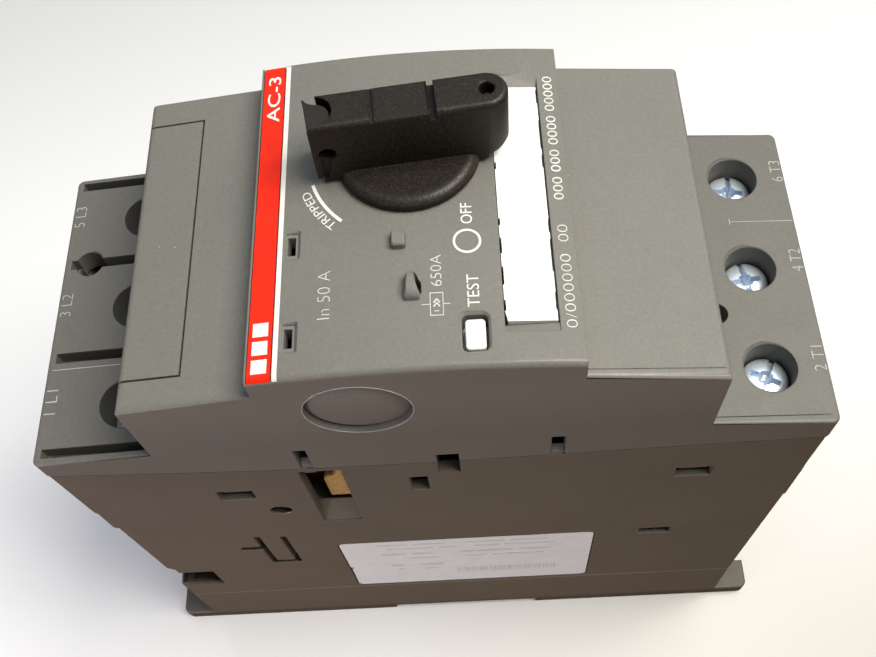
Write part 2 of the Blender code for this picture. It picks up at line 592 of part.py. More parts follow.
def build():
    for thing in list(bpy.data.objects):
        bpy.data.objects.remove(thing, do_unlink=True)
    housing_grey = material("housing_grey", (0.115, 0.105, 0.088), 0.55)
    base_grey = material("base_grey", (0.095, 0.085, 0.07), 0.6)
    black = material("handle_black", (0.022, 0.018, 0.015), 0.45)
    white = material("white_plastic", (0.8, 0.8, 0.78), 0.45)
    red = material("red_print", (0.75, 0.02, 0.01), 0.45)
    pale = material("pale_label", (0.5, 0.45, 0.43), 0.6)
    brown = material("brown_fibre", (0.35, 0.2, 0.09), 0.7)
    grey_fibre = material("grey_fibre", (0.4, 0.38, 0.34), 0.7)
    resin = material("dark_resin", (0.05, 0.05, 0.055), 0.5)
    copper = material("copper", (0.72, 0.36, 0.2), 0.35, 1.0)
    steel = material("steel", (0.5, 0.5, 0.5), 0.35, 1.0)
    zinc = material("zinc_plate", (0.62, 0.66, 0.7), 0.25, 1.0)
    spring_steel = material("spring_steel", (0.55, 0.55, 0.56), 0.3, 1.0)

    rear_base(base_grey)
    base_housing(base_grey)
    front_cover(housing_grey)
    aux_cover(housing_grey)
    labels(white, red, pale)
    for name, (x, y) in TERMINALS.items():
        terminal(name, x, y, zinc, steel)
    for pole, y in POLES.items():
        conductors(pole, y, copper, steel, grey_fibre)
    contact_carrier(resin, copper, brown)
    mechanism(steel, resin, spring_steel)
    trip_bar(resin)
    rotary_handle(black, brown)
    test_button(white, spring_steel)
    rail_latch(base_grey, spring_steel)


build()
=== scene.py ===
"""Looks of the motor protection breaker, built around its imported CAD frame.

Sizes are in millimetres, in the frame of the CAD part: it lies on its back, +Z points out of
the front face, -X is the line side, +X the load side. The pieces that the photo shows, with the
clamps and two springs, are modelled here in finer shape and stand for their CAD nodes. The rest of
the mechanism and the rail latch keep their CAD nodes.
"""
import math

import bmesh
import bpy
from mathutils import Matrix, Vector


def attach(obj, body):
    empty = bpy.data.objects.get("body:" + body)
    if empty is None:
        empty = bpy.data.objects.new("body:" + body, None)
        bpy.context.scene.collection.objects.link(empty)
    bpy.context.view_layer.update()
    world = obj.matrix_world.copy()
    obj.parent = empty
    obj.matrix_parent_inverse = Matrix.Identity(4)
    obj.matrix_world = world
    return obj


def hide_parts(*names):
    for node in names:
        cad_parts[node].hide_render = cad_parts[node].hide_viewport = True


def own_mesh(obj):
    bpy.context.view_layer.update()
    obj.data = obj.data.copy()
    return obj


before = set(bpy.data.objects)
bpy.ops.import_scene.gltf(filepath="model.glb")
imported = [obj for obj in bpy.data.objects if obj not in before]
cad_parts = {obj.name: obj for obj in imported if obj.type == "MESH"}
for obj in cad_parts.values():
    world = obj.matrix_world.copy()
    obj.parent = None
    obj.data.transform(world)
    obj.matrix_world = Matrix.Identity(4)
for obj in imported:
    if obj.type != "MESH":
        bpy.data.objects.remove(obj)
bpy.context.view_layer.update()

MM = 0.001
GAP = 0.3

HALF_WIDTH = 27.5
COVER_HALF = 62.6
WALL = 2.2
POLES = {"1": -18.0, "2": 0.0, "3": 18.0}
PARTING = ((-COVER_HALF, 102.4), (-41.0, 100.6), (-24.5, 99.5), (0.0, 99.3), (20.0, 100.0),
           (43.0, 100.8), (COVER_HALF, 101.2))
DECK_END_Z = 107.3
DECK_INNER_Z = 108.8
BLOCK_HALF = 43.0
BLOCK_END_Z = 125.7
BLOCK_INNER_Z = 127.9
FRONT_HALF = 23.0
FRONT_EDGE_Z = 132.3
FRONT_TOP_Z = 133.8
EDGE_ROUND = 1.0
HANDLE_AXIS = (0.0, 8.0)
HANDLE_TURN = math.radians(5.0)
HANDLE_TOP_Z = 145.6
LINE_SCREW_X = -48.5
LOAD_SCREW_X = 53.6
SCREW_TOP_Z = {"l": 101.9, "t": 103.9}
TERMINALS = {f"{side}{number}": (x, y)
             for side, x in (("l", LINE_SCREW_X), ("t", LOAD_SCREW_X))
             for number, y in POLES.items()}


# Shapes, each a closed mesh in millimetres

def skin(rings, closed=False):
    """A closed mesh over rings of points, capped at both ends or joined end to end."""
    mesh = bmesh.new()
    rings = [[mesh.verts.new(point) for point in ring] for ring in rings]
    for low, high in zip(rings, rings[1:] + rings[:1] if closed else rings[1:]):
        for here in range(len(low)):
            there = (here + 1) % len(low)
            mesh.faces.new((low[here], low[there], high[there], high[here]))
    if not closed:
        mesh.faces.new(rings[0])
        mesh.faces.new(rings[-1])
    bmesh.ops.recalc_face_normals(mesh, faces=mesh.faces)
    return mesh


def loft(sections, axis="Z"):
    """Skin over outlines that have the same number of points, each at its own height."""
    order = {"X": (2, 0, 1), "Y": (0, 2, 1), "Z": (0, 1, 2)}[axis]
    return skin([[[(u, v, height)[i] for i in order] for u, v in outline]
                 for outline, height in sections])


def prism(outline, low, high, axis="Y"):
    return loft([(outline, low), (outline, high)], axis)


def rectangle(x, y):
    return [(x[0], y[0]), (x[1], y[0]), (x[1], y[1]), (x[0], y[1])]


def box(x, y, z):
    return prism(rectangle(x, y), z[0], z[1], "Z")


def arc(centre, radius, start, end, steps):
    points = []
    for step in range(steps + 1):
        angle = math.radians(start + (end - start) * step / steps)
        points.append((centre[0] + radius * math.cos(angle), centre[1] + radius * math.sin(angle)))
    return points


def circle(centre, radius, sides=48):
    return arc(centre, radius, 0.0, 360.0, sides)[:-1]


def rounded(x, y, radius, steps=5):
    """A rectangle's outline with rounded corners."""
    outline = []
    corners = ((x[1], y[1], 0), (x[0], y[1], 90), (x[0], y[0], 180), (x[1], y[0], 270))
    for corner_x, corner_y, angle in corners:
        centre = (corner_x - math.copysign(radius, corner_x - sum(x) / 2),
                  corner_y - math.copysign(radius, corner_y - sum(y) / 2))
        outline += arc(centre, radius, angle, angle + 90, steps)
    return outline


def rod(centre, radius, low, high, axis="Z", sides=48):
    return prism(circle(centre, radius, sides), low, high, axis)


def turned(profile, centre, sides=48):
    """A solid of revolution about a vertical line, from (radius, z) pairs, bottom to top."""
    return loft([(circle(centre, radius, sides), z) for radius, z in profile], "Z")


def hoop(centre, radius, thick, sides=96, around=8):
    """A round ring standing in the XZ plane."""
    section = circle((radius, 0.0), thick, around)
    return skin([[(centre[0] + x * reach, centre[1] + out, centre[2] + z * reach)
                  for reach, out in section] for x, z in circle((0.0, 0.0), 1.0, sides)], closed=True)


def wound(centre, radius, wire, low, high, turns, axis="Z", around=8, steps=24):
    """A round wire wound about an axis along Z or X."""
    rings = []
    for step in range(steps * turns + 1):
        angle = math.tau * step / steps
        rise = low + (high - low) * step / (steps * turns)
        ring = [(centre[0] + reach * math.cos(angle), centre[1] + reach * math.sin(angle), z)
                for reach, z in circle((radius, rise), wire, around)]
        rings.append(ring if axis == "Z" else [(z, x, y) for x, y, z in ring])
    return skin(rings)


def flared(outline_at, low, high, flare, axis="Z"):
    """A cutter whose mouth opens by flare over its last flare of height, then goes on straight."""
    wide, narrow = outline_at(flare), outline_at(0.0)
    beyond = high + math.copysign(6.0, high - low)
    return loft([(narrow, low), (narrow, high - math.copysign(flare, high - low)), (wide, high),
                 (wide, beyond)], axis)


def hole(centre, radius, low, high, flare=0.3, axis="Z", sides=48):
    return flared(lambda grow: circle(centre, radius + grow, sides), low, high, flare, axis)


def pocket(x, y, low, high, radius=0.15, flare=0.12, axis="Z", steps=2):
    """A rectangular cutter with slightly rounded corners and an eased mouth."""
    def outline(grow):
        return rounded((x[0] - grow, x[1] + grow), (y[0] - grow, y[1] + grow), radius + grow, steps)
    return flared(outline, low, high, flare, axis)


def ease(mesh, width, segments=3, angle=30.0, where=None):
    """Round the outer edges sharper than the angle, or those of them that the test picks."""
    limit = math.radians(angle)
    mesh.normal_update()
    edges = []
    for edge in mesh.edges:
        if len(edge.link_faces) != 2 or edge.calc_face_angle_signed(0.0) < limit:
            continue
        middle = (edge.verts[0].co + edge.verts[1].co) / 2
        along = (edge.verts[1].co - edge.verts[0].co).normalized()
        if where is None or where(middle, along):
            edges.append(edge)
    bmesh.ops.bevel(mesh, geom=edges, offset=width, segments=segments, profile=0.5,
                    affect="EDGES", clamp_overlap=True)
    return mesh


def seam(x):
    for (x0, z0), (x1, z1) in zip(PARTING, PARTING[1:]):
        if x <= x1:
            return z0 + (z1 - z0) * (x - x0) / (x1 - x0)
    return PARTING[-1][1]


def front_z(x, y=0.0):
    """Height of the arched front face, with its rounding along the near edge."""
    over = min(max(-y - (HALF_WIDTH - EDGE_ROUND), 0.0), EDGE_ROUND)
    drop = EDGE_ROUND - math.sqrt(EDGE_ROUND ** 2 - over ** 2)
    return FRONT_TOP_Z - (FRONT_TOP_Z - FRONT_EDGE_Z) * (x / FRONT_HALF) ** 2 - drop


def deck_z(x):
    share = (COVER_HALF - abs(x)) / (COVER_HALF - BLOCK_HALF)
    return DECK_END_Z + (DECK_INNER_Z - DECK_END_Z) * share


def block_z(x):
    share = (BLOCK_HALF - abs(x)) / (BLOCK_HALF - FRONT_HALF)
    return BLOCK_END_Z + (BLOCK_INNER_Z - BLOCK_END_Z) * share


# Objects

def mesh_object(name, shape):
    bmesh.ops.scale(shape, verts=shape.verts, vec=(MM, MM, MM))
    mesh = bpy.data.meshes.new(name)
    shape.to_mesh(mesh)
    shape.free()
    thing = bpy.data.objects.new(name, mesh)
    bpy.context.scene.collection.objects.link(thing)
    return thing


def cut(*shapes):
    return [("DIFFERENCE", shape) for shape in shapes]


def join(*shapes):
    return [("UNION", shape) for shape in shapes]


def model(name, shape, steps=(), turn=None, smooth=32.0):
    """A piece: a shape, then the shapes joined to it or cut from it, baked to one mesh."""
    thing = mesh_object(name, shape)
    tools = []
    for number, (action, other) in enumerate(steps):
        tool = mesh_object(f"{name}_tool_{number}", other)
        tools.append(tool)
        change = thing.modifiers.new(f"{action} {number}", "BOOLEAN")
        change.operation = action
        change.solver = "EXACT"
        change.object = tool
    if tools:
        bpy.context.view_layer.update()
        evaluated = thing.evaluated_get(bpy.context.evaluated_depsgraph_get())
        baked = bpy.data.meshes.new_from_object(evaluated)
        baked.name = name
        thing.modifiers.clear()
        thing.data = baked
        for tool in tools:
            bpy.data.objects.remove(tool)
    if turn is not None:
        centre, angle = turn
        thing.data.transform(Matrix.Translation((centre[0] * MM, centre[1] * MM, 0))
                             @ Matrix.Rotation(angle, 4, "Z")
                             @ Matrix.Translation((-centre[0] * MM, -centre[1] * MM, 0)))
    thing.data.shade_smooth()
    thing.data.set_sharp_from_angle(angle=math.radians(smooth))
    weigh = thing.modifiers.new("Even shading", "WEIGHTED_NORMAL")
    weigh.keep_sharp = True
    return thing


def dress(thing, finish, body, stands_for=()):
    """Give a finished shape its material, its body and the CAD nodes that it stands for."""
    thing.data.materials.clear()
    thing.data.materials.append(finish)
    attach(thing, body)
    if stands_for:
        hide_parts(*stands_for)


# Materials

def node(tree, kind, inputs=None, **settings):
    """Add a shader node. inputs maps sockets to values or to other nodes' outputs."""
    made = tree.nodes.new("ShaderNode" + kind)
    for key, value in settings.items():
        setattr(made, key, value)
    for key, value in (inputs or {}).items():
        if isinstance(value, bpy.types.NodeSocket):
            tree.links.new(value, made.inputs[key])
        else:
            made.inputs[key].default_value = value
    return made


def noise(tree, where, size, detail=2.0, roughness=0.5):
    """Noise whose features are about size millimetres across."""
    made = node(tree, "TexNoise", {"Vector": where, "Scale": 1.0 / (size * MM), "Detail": detail,
                                   "Roughness": roughness})
    return made.outputs["Fac"]


def remap(tree, value, low, high, to_low=0.0, to_high=1.0):
    made = node(tree, "MapRange", {"Value": value, "From Min": low, "From Max": high,
                                   "To Min": to_low, "To Max": to_high})
    return made.outputs["Result"]


def blend_colour(tree, factor, first, second):
    made = node(tree, "Mix", data_type="RGBA")
    for index, value in ((0, factor), (6, first), (7, second)):
        if isinstance(value, bpy.types.NodeSocket):
            tree.links.new(value, made.inputs[index])
        else:
            made.inputs[index].default_value = (*value, 1.0) if index else value
    return made.outputs[2]


def maths(tree, operation, first, second):
    return node(tree, "Math", {0: first, 1: second}, operation=operation).outputs[0]


def specks(tree, where, spacing, size, share):
    """Sparse round specks: 1 inside a speck, 0 elsewhere."""
    cells = node(tree, "TexVoronoi", {"Vector": where, "Scale": 1.0 / (spacing * MM)})
    near = remap(tree, cells.outputs["Distance"], size / spacing, 0.6 * size / spacing)
    chance = node(tree, "SeparateColor", {"Color": cells.outputs["Color"]})
    chosen = maths(tree, "LESS_THAN", chance.outputs[0], share)
    return maths(tree, "MULTIPLY", near, chosen)


def edge_mask(tree):
    """1 on the rounded rims between upper faces and side faces, 0 on the faces themselves."""
    rise = node(tree, "SeparateXYZ", {"Vector": node(tree, "TexCoord").outputs["Normal"]}).outputs["Z"]
    return maths(tree, "MULTIPLY", remap(tree, rise, 0.985, 0.93), remap(tree, rise, 0.3, 0.6))


def blank(name):
    """A new material, its tree and shader, and the object's own coordinates."""
    finish = bpy.data.materials.new(name)
    finish.use_nodes = True
    tree = finish.node_tree
    return finish, tree, tree.nodes["Principled BSDF"], node(tree, "TexCoord").outputs["Object"]


def coat(tree, shader, colour, roughness, specular=0.5):
    """Feed colour and roughness to the shader. A plain number is set on the socket itself."""
    tree.links.new(colour, shader.inputs["Base Color"])
    if isinstance(roughness, bpy.types.NodeSocket):
        tree.links.new(roughness, shader.inputs["Roughness"])
    else:
        shader.inputs["Roughness"].default_value = roughness
    shader.inputs["Specular IOR Level"].default_value = specular


def bump_into(tree, shader, height, depth, strength=1.0, corner=None):
    """Drive the normal from a height, over corners eased by the given radius."""
    inputs = {"Height": height, "Distance": depth * MM, "Strength": strength}
    if corner:
        inputs["Normal"] = node(tree, "Bevel", {"Radius": corner * MM}, samples=4).outputs["Normal"]
    made = node(tree, "Bump", inputs)
    tree.links.new(made.outputs["Normal"], shader.inputs["Normal"])


def moulded_plastic(name, colour, worn_and_highlit, roughness=0.58, grain=0.35, wear_and_highlight=0.15, dust=0.06,
                    mottle=0.03):
    """Spark-eroded thermoplastic: fine grain, faint flow mottling, polished edges lightened to paint their
    highlight as well as their wear, painted shade low down, and dust.
    """
    finish, tree, shader, where = blank(name)
    height = node(tree, "SeparateXYZ", {"Vector": where}).outputs["Z"]
    tone_and_painted_shade = remap(tree, noise(tree, where, 22.0, 3.0), 0.3, 0.7, 1.0 - mottle, 1.0 + mottle)
    # painted shade: darker below the cover's shoulders, and at the foot's lowest edge, where less light
    # reaches
    for factor in (remap(tree, height, 0.111, 0.125, 0.8, 1.0),
                   remap(tree, height, 0.003, 0.0045, 0.55, 1.0),
                   remap(tree, noise(tree, where, 0.55, 3.0, 0.7), 0.3, 0.7, 0.9, 1.1)):
        tone_and_painted_shade = maths(tree, "MULTIPLY", tone_and_painted_shade, factor)
    tinted = node(tree, "VectorMath", {0: colour, "Scale": tone_and_painted_shade}, operation="SCALE").outputs[0]
    # the upper rims: real wear and polish, lightened in a pale tone that also paints their highlight
    scuffs = noise(tree, where, 0.6, 3.0, 0.6)
    edges = maths(tree, "MULTIPLY", edge_mask(tree), remap(tree, scuffs, 0.3, 0.6, 0.4))
    rubbed_and_highlit = blend_colour(tree, maths(tree, "MULTIPLY", edges, wear_and_highlight), tinted, worn_and_highlit)
    dusty = blend_colour(tree, specks(tree, where, 2.6, 0.13, dust), rubbed_and_highlit, (0.48, 0.48, 0.46))
    matt = remap(tree, noise(tree, where, 6.0, 4.0, 0.6), 0.3, 0.7, roughness - 0.06, roughness + 0.06)
    coat(tree, shader, dusty, maths(tree, "SUBTRACT", matt, maths(tree, "MULTIPLY", edges, 0.3)))
    bump_into(tree, shader, noise(tree, where, grain, 2.0, 0.6), 0.02, 0.5, corner=0.22)
    return finish


def handle_plastic():
    """Near-black plastic, coarser grain with brown and pale sparkle, edges worn glossy and lightened to
    paint their highlight too.
    """
    finish, tree, shader, where = blank("handle_plastic")
    fine = noise(tree, where, 0.45, 3.0, 0.7)
    base = blend_colour(tree, remap(tree, fine, 0.35, 0.7), (0.006, 0.0045, 0.0035), (0.019, 0.014, 0.009))
    sparkle = specks(tree, where, 0.4, 0.12, 0.4)
    base = blend_colour(tree, maths(tree, "MULTIPLY", sparkle, 0.2), base, (0.13, 0.115, 0.1))
    scuffs = noise(tree, where, 0.3, 3.0, 0.7)
    edges = maths(tree, "MULTIPLY", edge_mask(tree), remap(tree, scuffs, 0.35, 0.65))
    # worn rims, lightened: partly real wear, partly a painted highlight
    worn_and_highlit = blend_colour(tree, maths(tree, "MULTIPLY", edges, 0.14), base, (0.2, 0.19, 0.19))
    matt = remap(tree, fine, 0.3, 0.7, 0.44, 0.58)
    coat(tree, shader, worn_and_highlit, maths(tree, "SUBTRACT", matt, maths(tree, "MULTIPLY", edges, 0.3)), 0.25)
    bump_into(tree, shader, noise(tree, where, 0.38, 2.0, 0.6), 0.05, 0.7, corner=0.25)
    return finish


def printed(name, colour, other, roughness=0.4):
    """Ink or film: even colour with faint mottling and a little orange peel."""
    finish, tree, shader, where = blank(name)
    patch = noise(tree, where, 3.0, 3.0, 0.6)
    tinted = blend_colour(tree, remap(tree, patch, 0.35, 0.75), colour, other)
    shine = remap(tree, noise(tree, where, 8.0, 2.0), 0.3, 0.7, roughness - 0.05, roughness + 0.05)
    coat(tree, shader, tinted, shine, 0.2)
    bump_into(tree, shader, noise(tree, where, 0.8, 2.0), 0.01, 0.25)
    return finish


def metal(name, colour, stained, roughness=0.3):
    """Bare metal with stain and fine tool marks drawn out along X."""
    finish, tree, shader, where = blank(name)
    stain = noise(tree, where, 1.8, 4.0, 0.65)
    tinted = blend_colour(tree, remap(tree, stain, 0.4, 0.75), colour, stained)
    stretch = node(tree, "Mapping", {"Vector": where, "Scale": (0.2, 1.0, 1.0)}).outputs[0]
    marks = noise(tree, stretch, 0.5, 3.0, 0.6)
    coat(tree, shader, tinted, remap(tree, marks, 0.3, 0.7, roughness - 0.08, roughness + 0.12))
    shader.inputs["Metallic"].default_value = 1.0
    bump_into(tree, shader, marks, 0.012, 0.4, corner=0.15)
    return finish


def plated(name, colour, clouded):
    """Bright plating, smooth and slightly milky, with faint clouding."""
    finish, tree, shader, where = blank(name)
    cloud = noise(tree, where, 1.6, 3.0, 0.6)
    tinted = blend_colour(tree, remap(tree, cloud, 0.35, 0.7), colour, clouded)
    coat(tree, shader, tinted, remap(tree, cloud, 0.3, 0.7, 0.28, 0.4))
    shader.inputs["Metallic"].default_value = 0.65
    return finish


def fibre(name, colour, other):
    """Pressed fibre board: short flecks in two tones."""
    finish, tree, shader, where = blank(name)
    stretch = node(tree, "Mapping", {"Vector": where, "Scale": (1.0, 4.0, 1.0)}).outputs[0]
    flecks = noise(tree, stretch, 0.9, 4.0, 0.7)
    coat(tree, shader, blend_colour(tree, remap(tree, flecks, 0.35, 0.65), colour, other), 0.75)
    bump_into(tree, shader, flecks, 0.03, 0.6)
    return finish


# the second colour lightens the worn rims and paints their highlight as well
HOUSING = moulded_plastic("housing_plastic", (0.157, 0.154, 0.141), (0.34, 0.35, 0.38))
BASE = moulded_plastic("base_plastic", (0.128, 0.112, 0.094), (0.2, 0.19, 0.17), roughness=0.6,
                       mottle=0.05, dust=0.03)
# a light colour that paints the bright highlight along the round recess's edge
RIM_HIGHLIGHT = moulded_plastic("painted_rim_highlight", (0.5, 0.51, 0.54), (0.6, 0.6, 0.6), roughness=0.35, wear_and_highlight=0.0,
                      dust=0.0)
HANDLE = handle_plastic()
WHITE = moulded_plastic("white_plastic", (0.82, 0.82, 0.8), (0.9, 0.9, 0.88), roughness=0.35,
                        wear_and_highlight=0.0, dust=0.0)
WHITE_INK = printed("white_ink", (0.82, 0.82, 0.8), (0.7, 0.7, 0.68))
FINE_INK = printed("fine_white_ink", (0.68, 0.68, 0.66), (0.5, 0.5, 0.48))
DULL_INK = printed("dull_white_ink", (0.5, 0.5, 0.48), (0.36, 0.36, 0.34))
RED_FILM = printed("red_film", (0.78, 0.022, 0.004), (0.7, 0.016, 0.003), roughness=0.45)
PAPER = printed("label_film", (0.86, 0.86, 0.85), (0.82, 0.82, 0.82), roughness=0.5)
PALE_FILM = printed("pale_label_film", (0.72, 0.76, 0.82), (0.66, 0.7, 0.76), roughness=0.45)
GREY_INK = printed("grey_ink", (0.52, 0.54, 0.58), (0.64, 0.67, 0.72))
ZINC = plated("bright_zinc", (0.76, 0.84, 0.95), (0.58, 0.67, 0.8))
STEEL = metal("bare_steel", (0.52, 0.52, 0.51), (0.36, 0.35, 0.33), roughness=0.34)
SPRING = metal("spring_wire", (0.56, 0.56, 0.57), (0.4, 0.4, 0.4), roughness=0.26)
COPPER = metal("copper_strip", (0.72, 0.38, 0.22), (0.45, 0.22, 0.12), roughness=0.32)
BROWN = fibre("brown_fibre_board", (0.5, 0.33, 0.12), (0.38, 0.22, 0.07))
GREY_FIBRE = fibre("grey_fibre_board", (0.38, 0.36, 0.33), (0.28, 0.27, 0.25))
RESIN = moulded_plastic("dark_resin", (0.05, 0.05, 0.055), (0.09, 0.09, 0.09), roughness=0.45,
                        wear_and_highlight=0.3, dust=0.0)
TONGUE = moulded_plastic("brown_plastic", (0.007, 0.0035, 0.002), (0.05, 0.03, 0.02), roughness=0.75,
                         wear_and_highlight=0.3, dust=0.0, grain=0.4)


# Housing

SIDE_LABEL = ((-22.1, 28.6), (24.4, 56.2))
SNAP_WINDOWS = ((-37.7, -31.6), (40.1, 46.3))
SNAP_WINDOW_Z = (86.3, 90.6)
ENTRY_Z = (74.5, 87.0)
ENTRY_HALF = 6.2
SEAM_NOTCHES = ((-21.2, -19.3), (18.9, 21.1))
BLANK_CENTRE = (-9.0, 121.6)


def near_pocket(x, z, inner=-24.0, radius=0.12, side=-1):
    """A cutter into a side wall, from inner out through the wall's face."""
    return pocket(x, z, side * abs(inner), side * HALF_WIDTH, radius, 0.12, "Y")


def near_window(x, z, lip, side=-1):
    """Cuts for a window in a side wall whose sill is only lip wide, with free space behind."""
    behind = box((x[0] + 0.05, x[1] - 0.05), sorted((side * 23.9, side * (HALF_WIDTH - lip))),
                 (z[0] - 1.6, z[1] + 0.3))
    return cut(near_pocket(x, z, side=side), behind)


def make_rear_base():
    flange = prism(rounded((-68.5, 68.5), (-HALF_WIDTH, HALF_WIDTH), 1.8, 8), 0.0, 4.0, "Z")
    ease(flange, 0.5, 3)
    block = prism([(-61.0, 1.0), (61.0, 1.0), (61.0, 22.5), (-61.0, 22.5)], -HALF_WIDTH, HALF_WIDTH)
    ease(block, 0.5, 3, where=lambda middle, along: middle.z > 1.5)
    channel = prism([(-16.2, -1.0), (-16.2, 1.5), (-17.9, 1.5), (-17.9, 2.8), (17.9, 2.8),
                     (17.9, -1.0)], -30.0, 30.0)
    steps = join(block) + cut(box((-58.5, 58.5), (-25.0, 25.0), (6.0, 30.0)), channel,
                              box((17.0, 75.0), (-7.0, 7.0), (-1.0, 3.8)),
                              box((22.0, 75.0), (-9.0, 9.0), (1.9, 3.8)),
                              box((61.2, 75.0), (-9.0, 9.0), (-1.0, 6.0)))
    steps += join(box((44.0, 45.7), (-2.0, 2.0), (1.0, 5.0)))
    for side in (-1, 1):
        for y in (-19.0, 19.0):
            steps += cut(pocket(sorted((side * 62.8, side * 75.0)), (y - 1.9, y + 1.9), -1.0, 4.0,
                                1.85, 0.2, "Z", 6))
    # shallow cored pockets between ribs on the back
    cores = [(x, y) for x in ((-57.0, -40.5), (-38.5, -21.0))
             for y in ((-24.5, -13.2), (-11.6, 11.6), (13.2, 24.5))]
    cores += [(x, y) for y in ((-24.5, -11.2), (11.2, 24.5)) for x in ((21.0, 38.5), (40.5, 57.0))]
    steps += cut(*[pocket(x, y, 1.6, 0.0, 1.0, 0.2, "Z", 4) for x, y in cores])
    dress(model("rear_base_moulding", flange, steps), BASE, "housing", ["rear_base"])


def end_openings(side):
    """Conductor entries with a gauge pocket and vents below each, and grooves between the poles."""
    steps = []
    for y in POLES.values():
        steps += cut(pocket((y - ENTRY_HALF, y + ENTRY_HALF), ENTRY_Z, side * 55.0, side * 62.4,
                            0.5, 0.7, "X", 4),
                     pocket((y - 3.4, y + 3.4), (58.4, 64.4), side * 60.4, side * 61.75, 0.6, 0.2,
                            "X", 4))
        for rise in (0.0, 2.6, 5.2):
            steps += cut(pocket((y - 4.6, y + 4.6), (31.2 + rise, 32.5 + rise), side * 55.0,
                                side * 61.3, 0.4, 0.15, "X", 3))
    for y in (-9.0, 9.0):
        steps += cut(pocket((y - 0.8, y + 0.8), (44.0, 66.0), side * 60.9, side * 61.7, 0.3, 0.15,
                            "X", 3))
    return steps


def near_wall_openings():
    """Windows, label recess, round hole and corner relief in the near wall."""
    steps = cut(near_pocket((-22.1, -15.2), (71.5, 98.1), radius=0.5))
    steps += join(prism([(-27.25, 71.2), (-25.3, 78.0), (-25.1, 78.0), (-25.1, 71.2)],
                        -22.3, -15.0, "X"))
    steps += cut(box((0.7, 4.3), (-30.0, -24.4), (94.5, 104.0)))
    for x, z, lip in (((-4.4, -1.4), (86.5, 92.9), 2.0), ((37.5, 43.6), (53.4, 56.9), 0.8),
                      ((-37.4, -36.3), (45.6, 63.8), 0.3), ((-32.4, -31.3), (45.7, 63.4), 0.3),
                      ((-37.2, -31.4), (45.2, 47.3), 0.4), ((-41.6, -36.8), (55.2, 57.4), 0.3)):
        steps += near_window(x, z, lip)
    steps += cut(box((-64.0, -51.4), (-30.0, -24.4), (30.8, 41.2)),
                 box((-60.9, -51.6), (-26.7, -23.0), (28.0, 41.1)))
    for x in SNAP_WINDOWS:
        steps += near_window(x, SNAP_WINDOW_Z, 1.2) + near_window(x, SNAP_WINDOW_Z, 1.2, 1)
    label_x, label_z = SIDE_LABEL
    recess = rounded((label_x[0] - GAP, label_x[1] + GAP), (label_z[0] - GAP, label_z[1] + GAP), 1.7, 4)
    # shallow relief down the near left corner
    relief = [(-58.75, -27.0), (-62.6, -26.0), (-64.0, -25.6), (-64.0, -29.0), (-58.75, -29.0)]
    upper = [(-61.9, -27.4), (-62.6, -27.2), (-64.0, -26.8), (-64.0, -29.0), (-61.9, -29.0)]
    return steps + cut(prism(recess, -30.0, -HALF_WIDTH + 0.5, "Y"),
                       hole((-28.7, 79.4), 1.95, -24.0, -HALF_WIDTH, 0.1, "Y"),
                       box((-30.8, -26.6), (-27.2, -24.0), (76.0, 81.5)),
                       loft([(relief, 40.5), (relief, 78.8), (upper, 84.2)]))


def make_lower_housing():
    outline = [(-61.2, 22.8), (61.2, 22.8)]
    seam_x = [62.2] + [x for x, _ in reversed(PARTING[1:-1])] + [-62.2]
    outline += [(x, seam(x) - GAP / 2) for x in seam_x]
    body = prism(outline, -HALF_WIDTH, HALF_WIDTH)
    ease(body, 0.9, 4, where=upright_at_end)
    ease(body, 0.3, 2)
    steps = []
    for side in (-1, 1):
        frame_box = box(sorted((side * 60.5, side * 63.0)), (-26.2, 26.2), (69.6, 84.6))
        steps += join(ease(frame_box, 0.35, 2))
    inner = HALF_WIDTH - WALL
    edges = (-inner, -9.8, -8.2, 8.2, 9.8, inner)
    for low, high in zip(edges[::2], edges[1::2]):
        steps += cut(prism([(-59.4, 25.0), (59.4, 25.0), (60.0, 110.0), (-60.0, 110.0)], low, high))
    steps += cut(box((-9.0, 3.0), (-12.0, 12.0), (94.5, 110.0)))
    steps += end_openings(-1) + end_openings(1) + near_wall_openings()
    dress(model("lower_housing", body, steps), BASE, "housing", ["base_housing"])
    # stub seen in the round hole of the near wall
    stub = ease(rod((-28.7, 77.9), 1.3, -26.3, -24.4, "Y"), 0.2, 2)
    dress(model("hole_stub", stub), BASE, "housing")


def make_driver_board():
    """The board seen through the near window, rounded where it narrows."""
    outline = [(-19.8, 78.7), (-16.0, 78.7), (-16.0, 104.0), (-17.3, 104.0), (-17.3, 89.6)]
    outline += arc((-18.0, 86.9), 1.8, 90.0, 180.0, 8)
    board = ease(prism(outline, -24.9, -23.5), 0.2, 2)
    thing = model("side_driver_board", board, join(box((-17.3, -7.4), (-24.9, -23.5), (100.6, 104.9))))
    dress(thing, BROWN, "contact_carrier", ["side_driver"])


def upright_at_end(middle, along):
    return abs(along.z) > 0.9 and abs(middle.x) > 60.0


def block_rim(middle, along):
    near = abs(along.x) > 0.9 and middle.y < -27.0
    return middle.z > 124.5 and (near or (abs(along.y) > 0.9 and abs(middle.x) > 42.9))


def deck_rim(middle, along):
    outer = abs(middle.y) > 26.0 or abs(middle.x) > 61.0
    return 106.5 < middle.z < 109.5 and abs(along.z) < 0.2 and outer


def block_corner(middle, along):
    return abs(along.z) > 0.9 and middle.z > 110.0


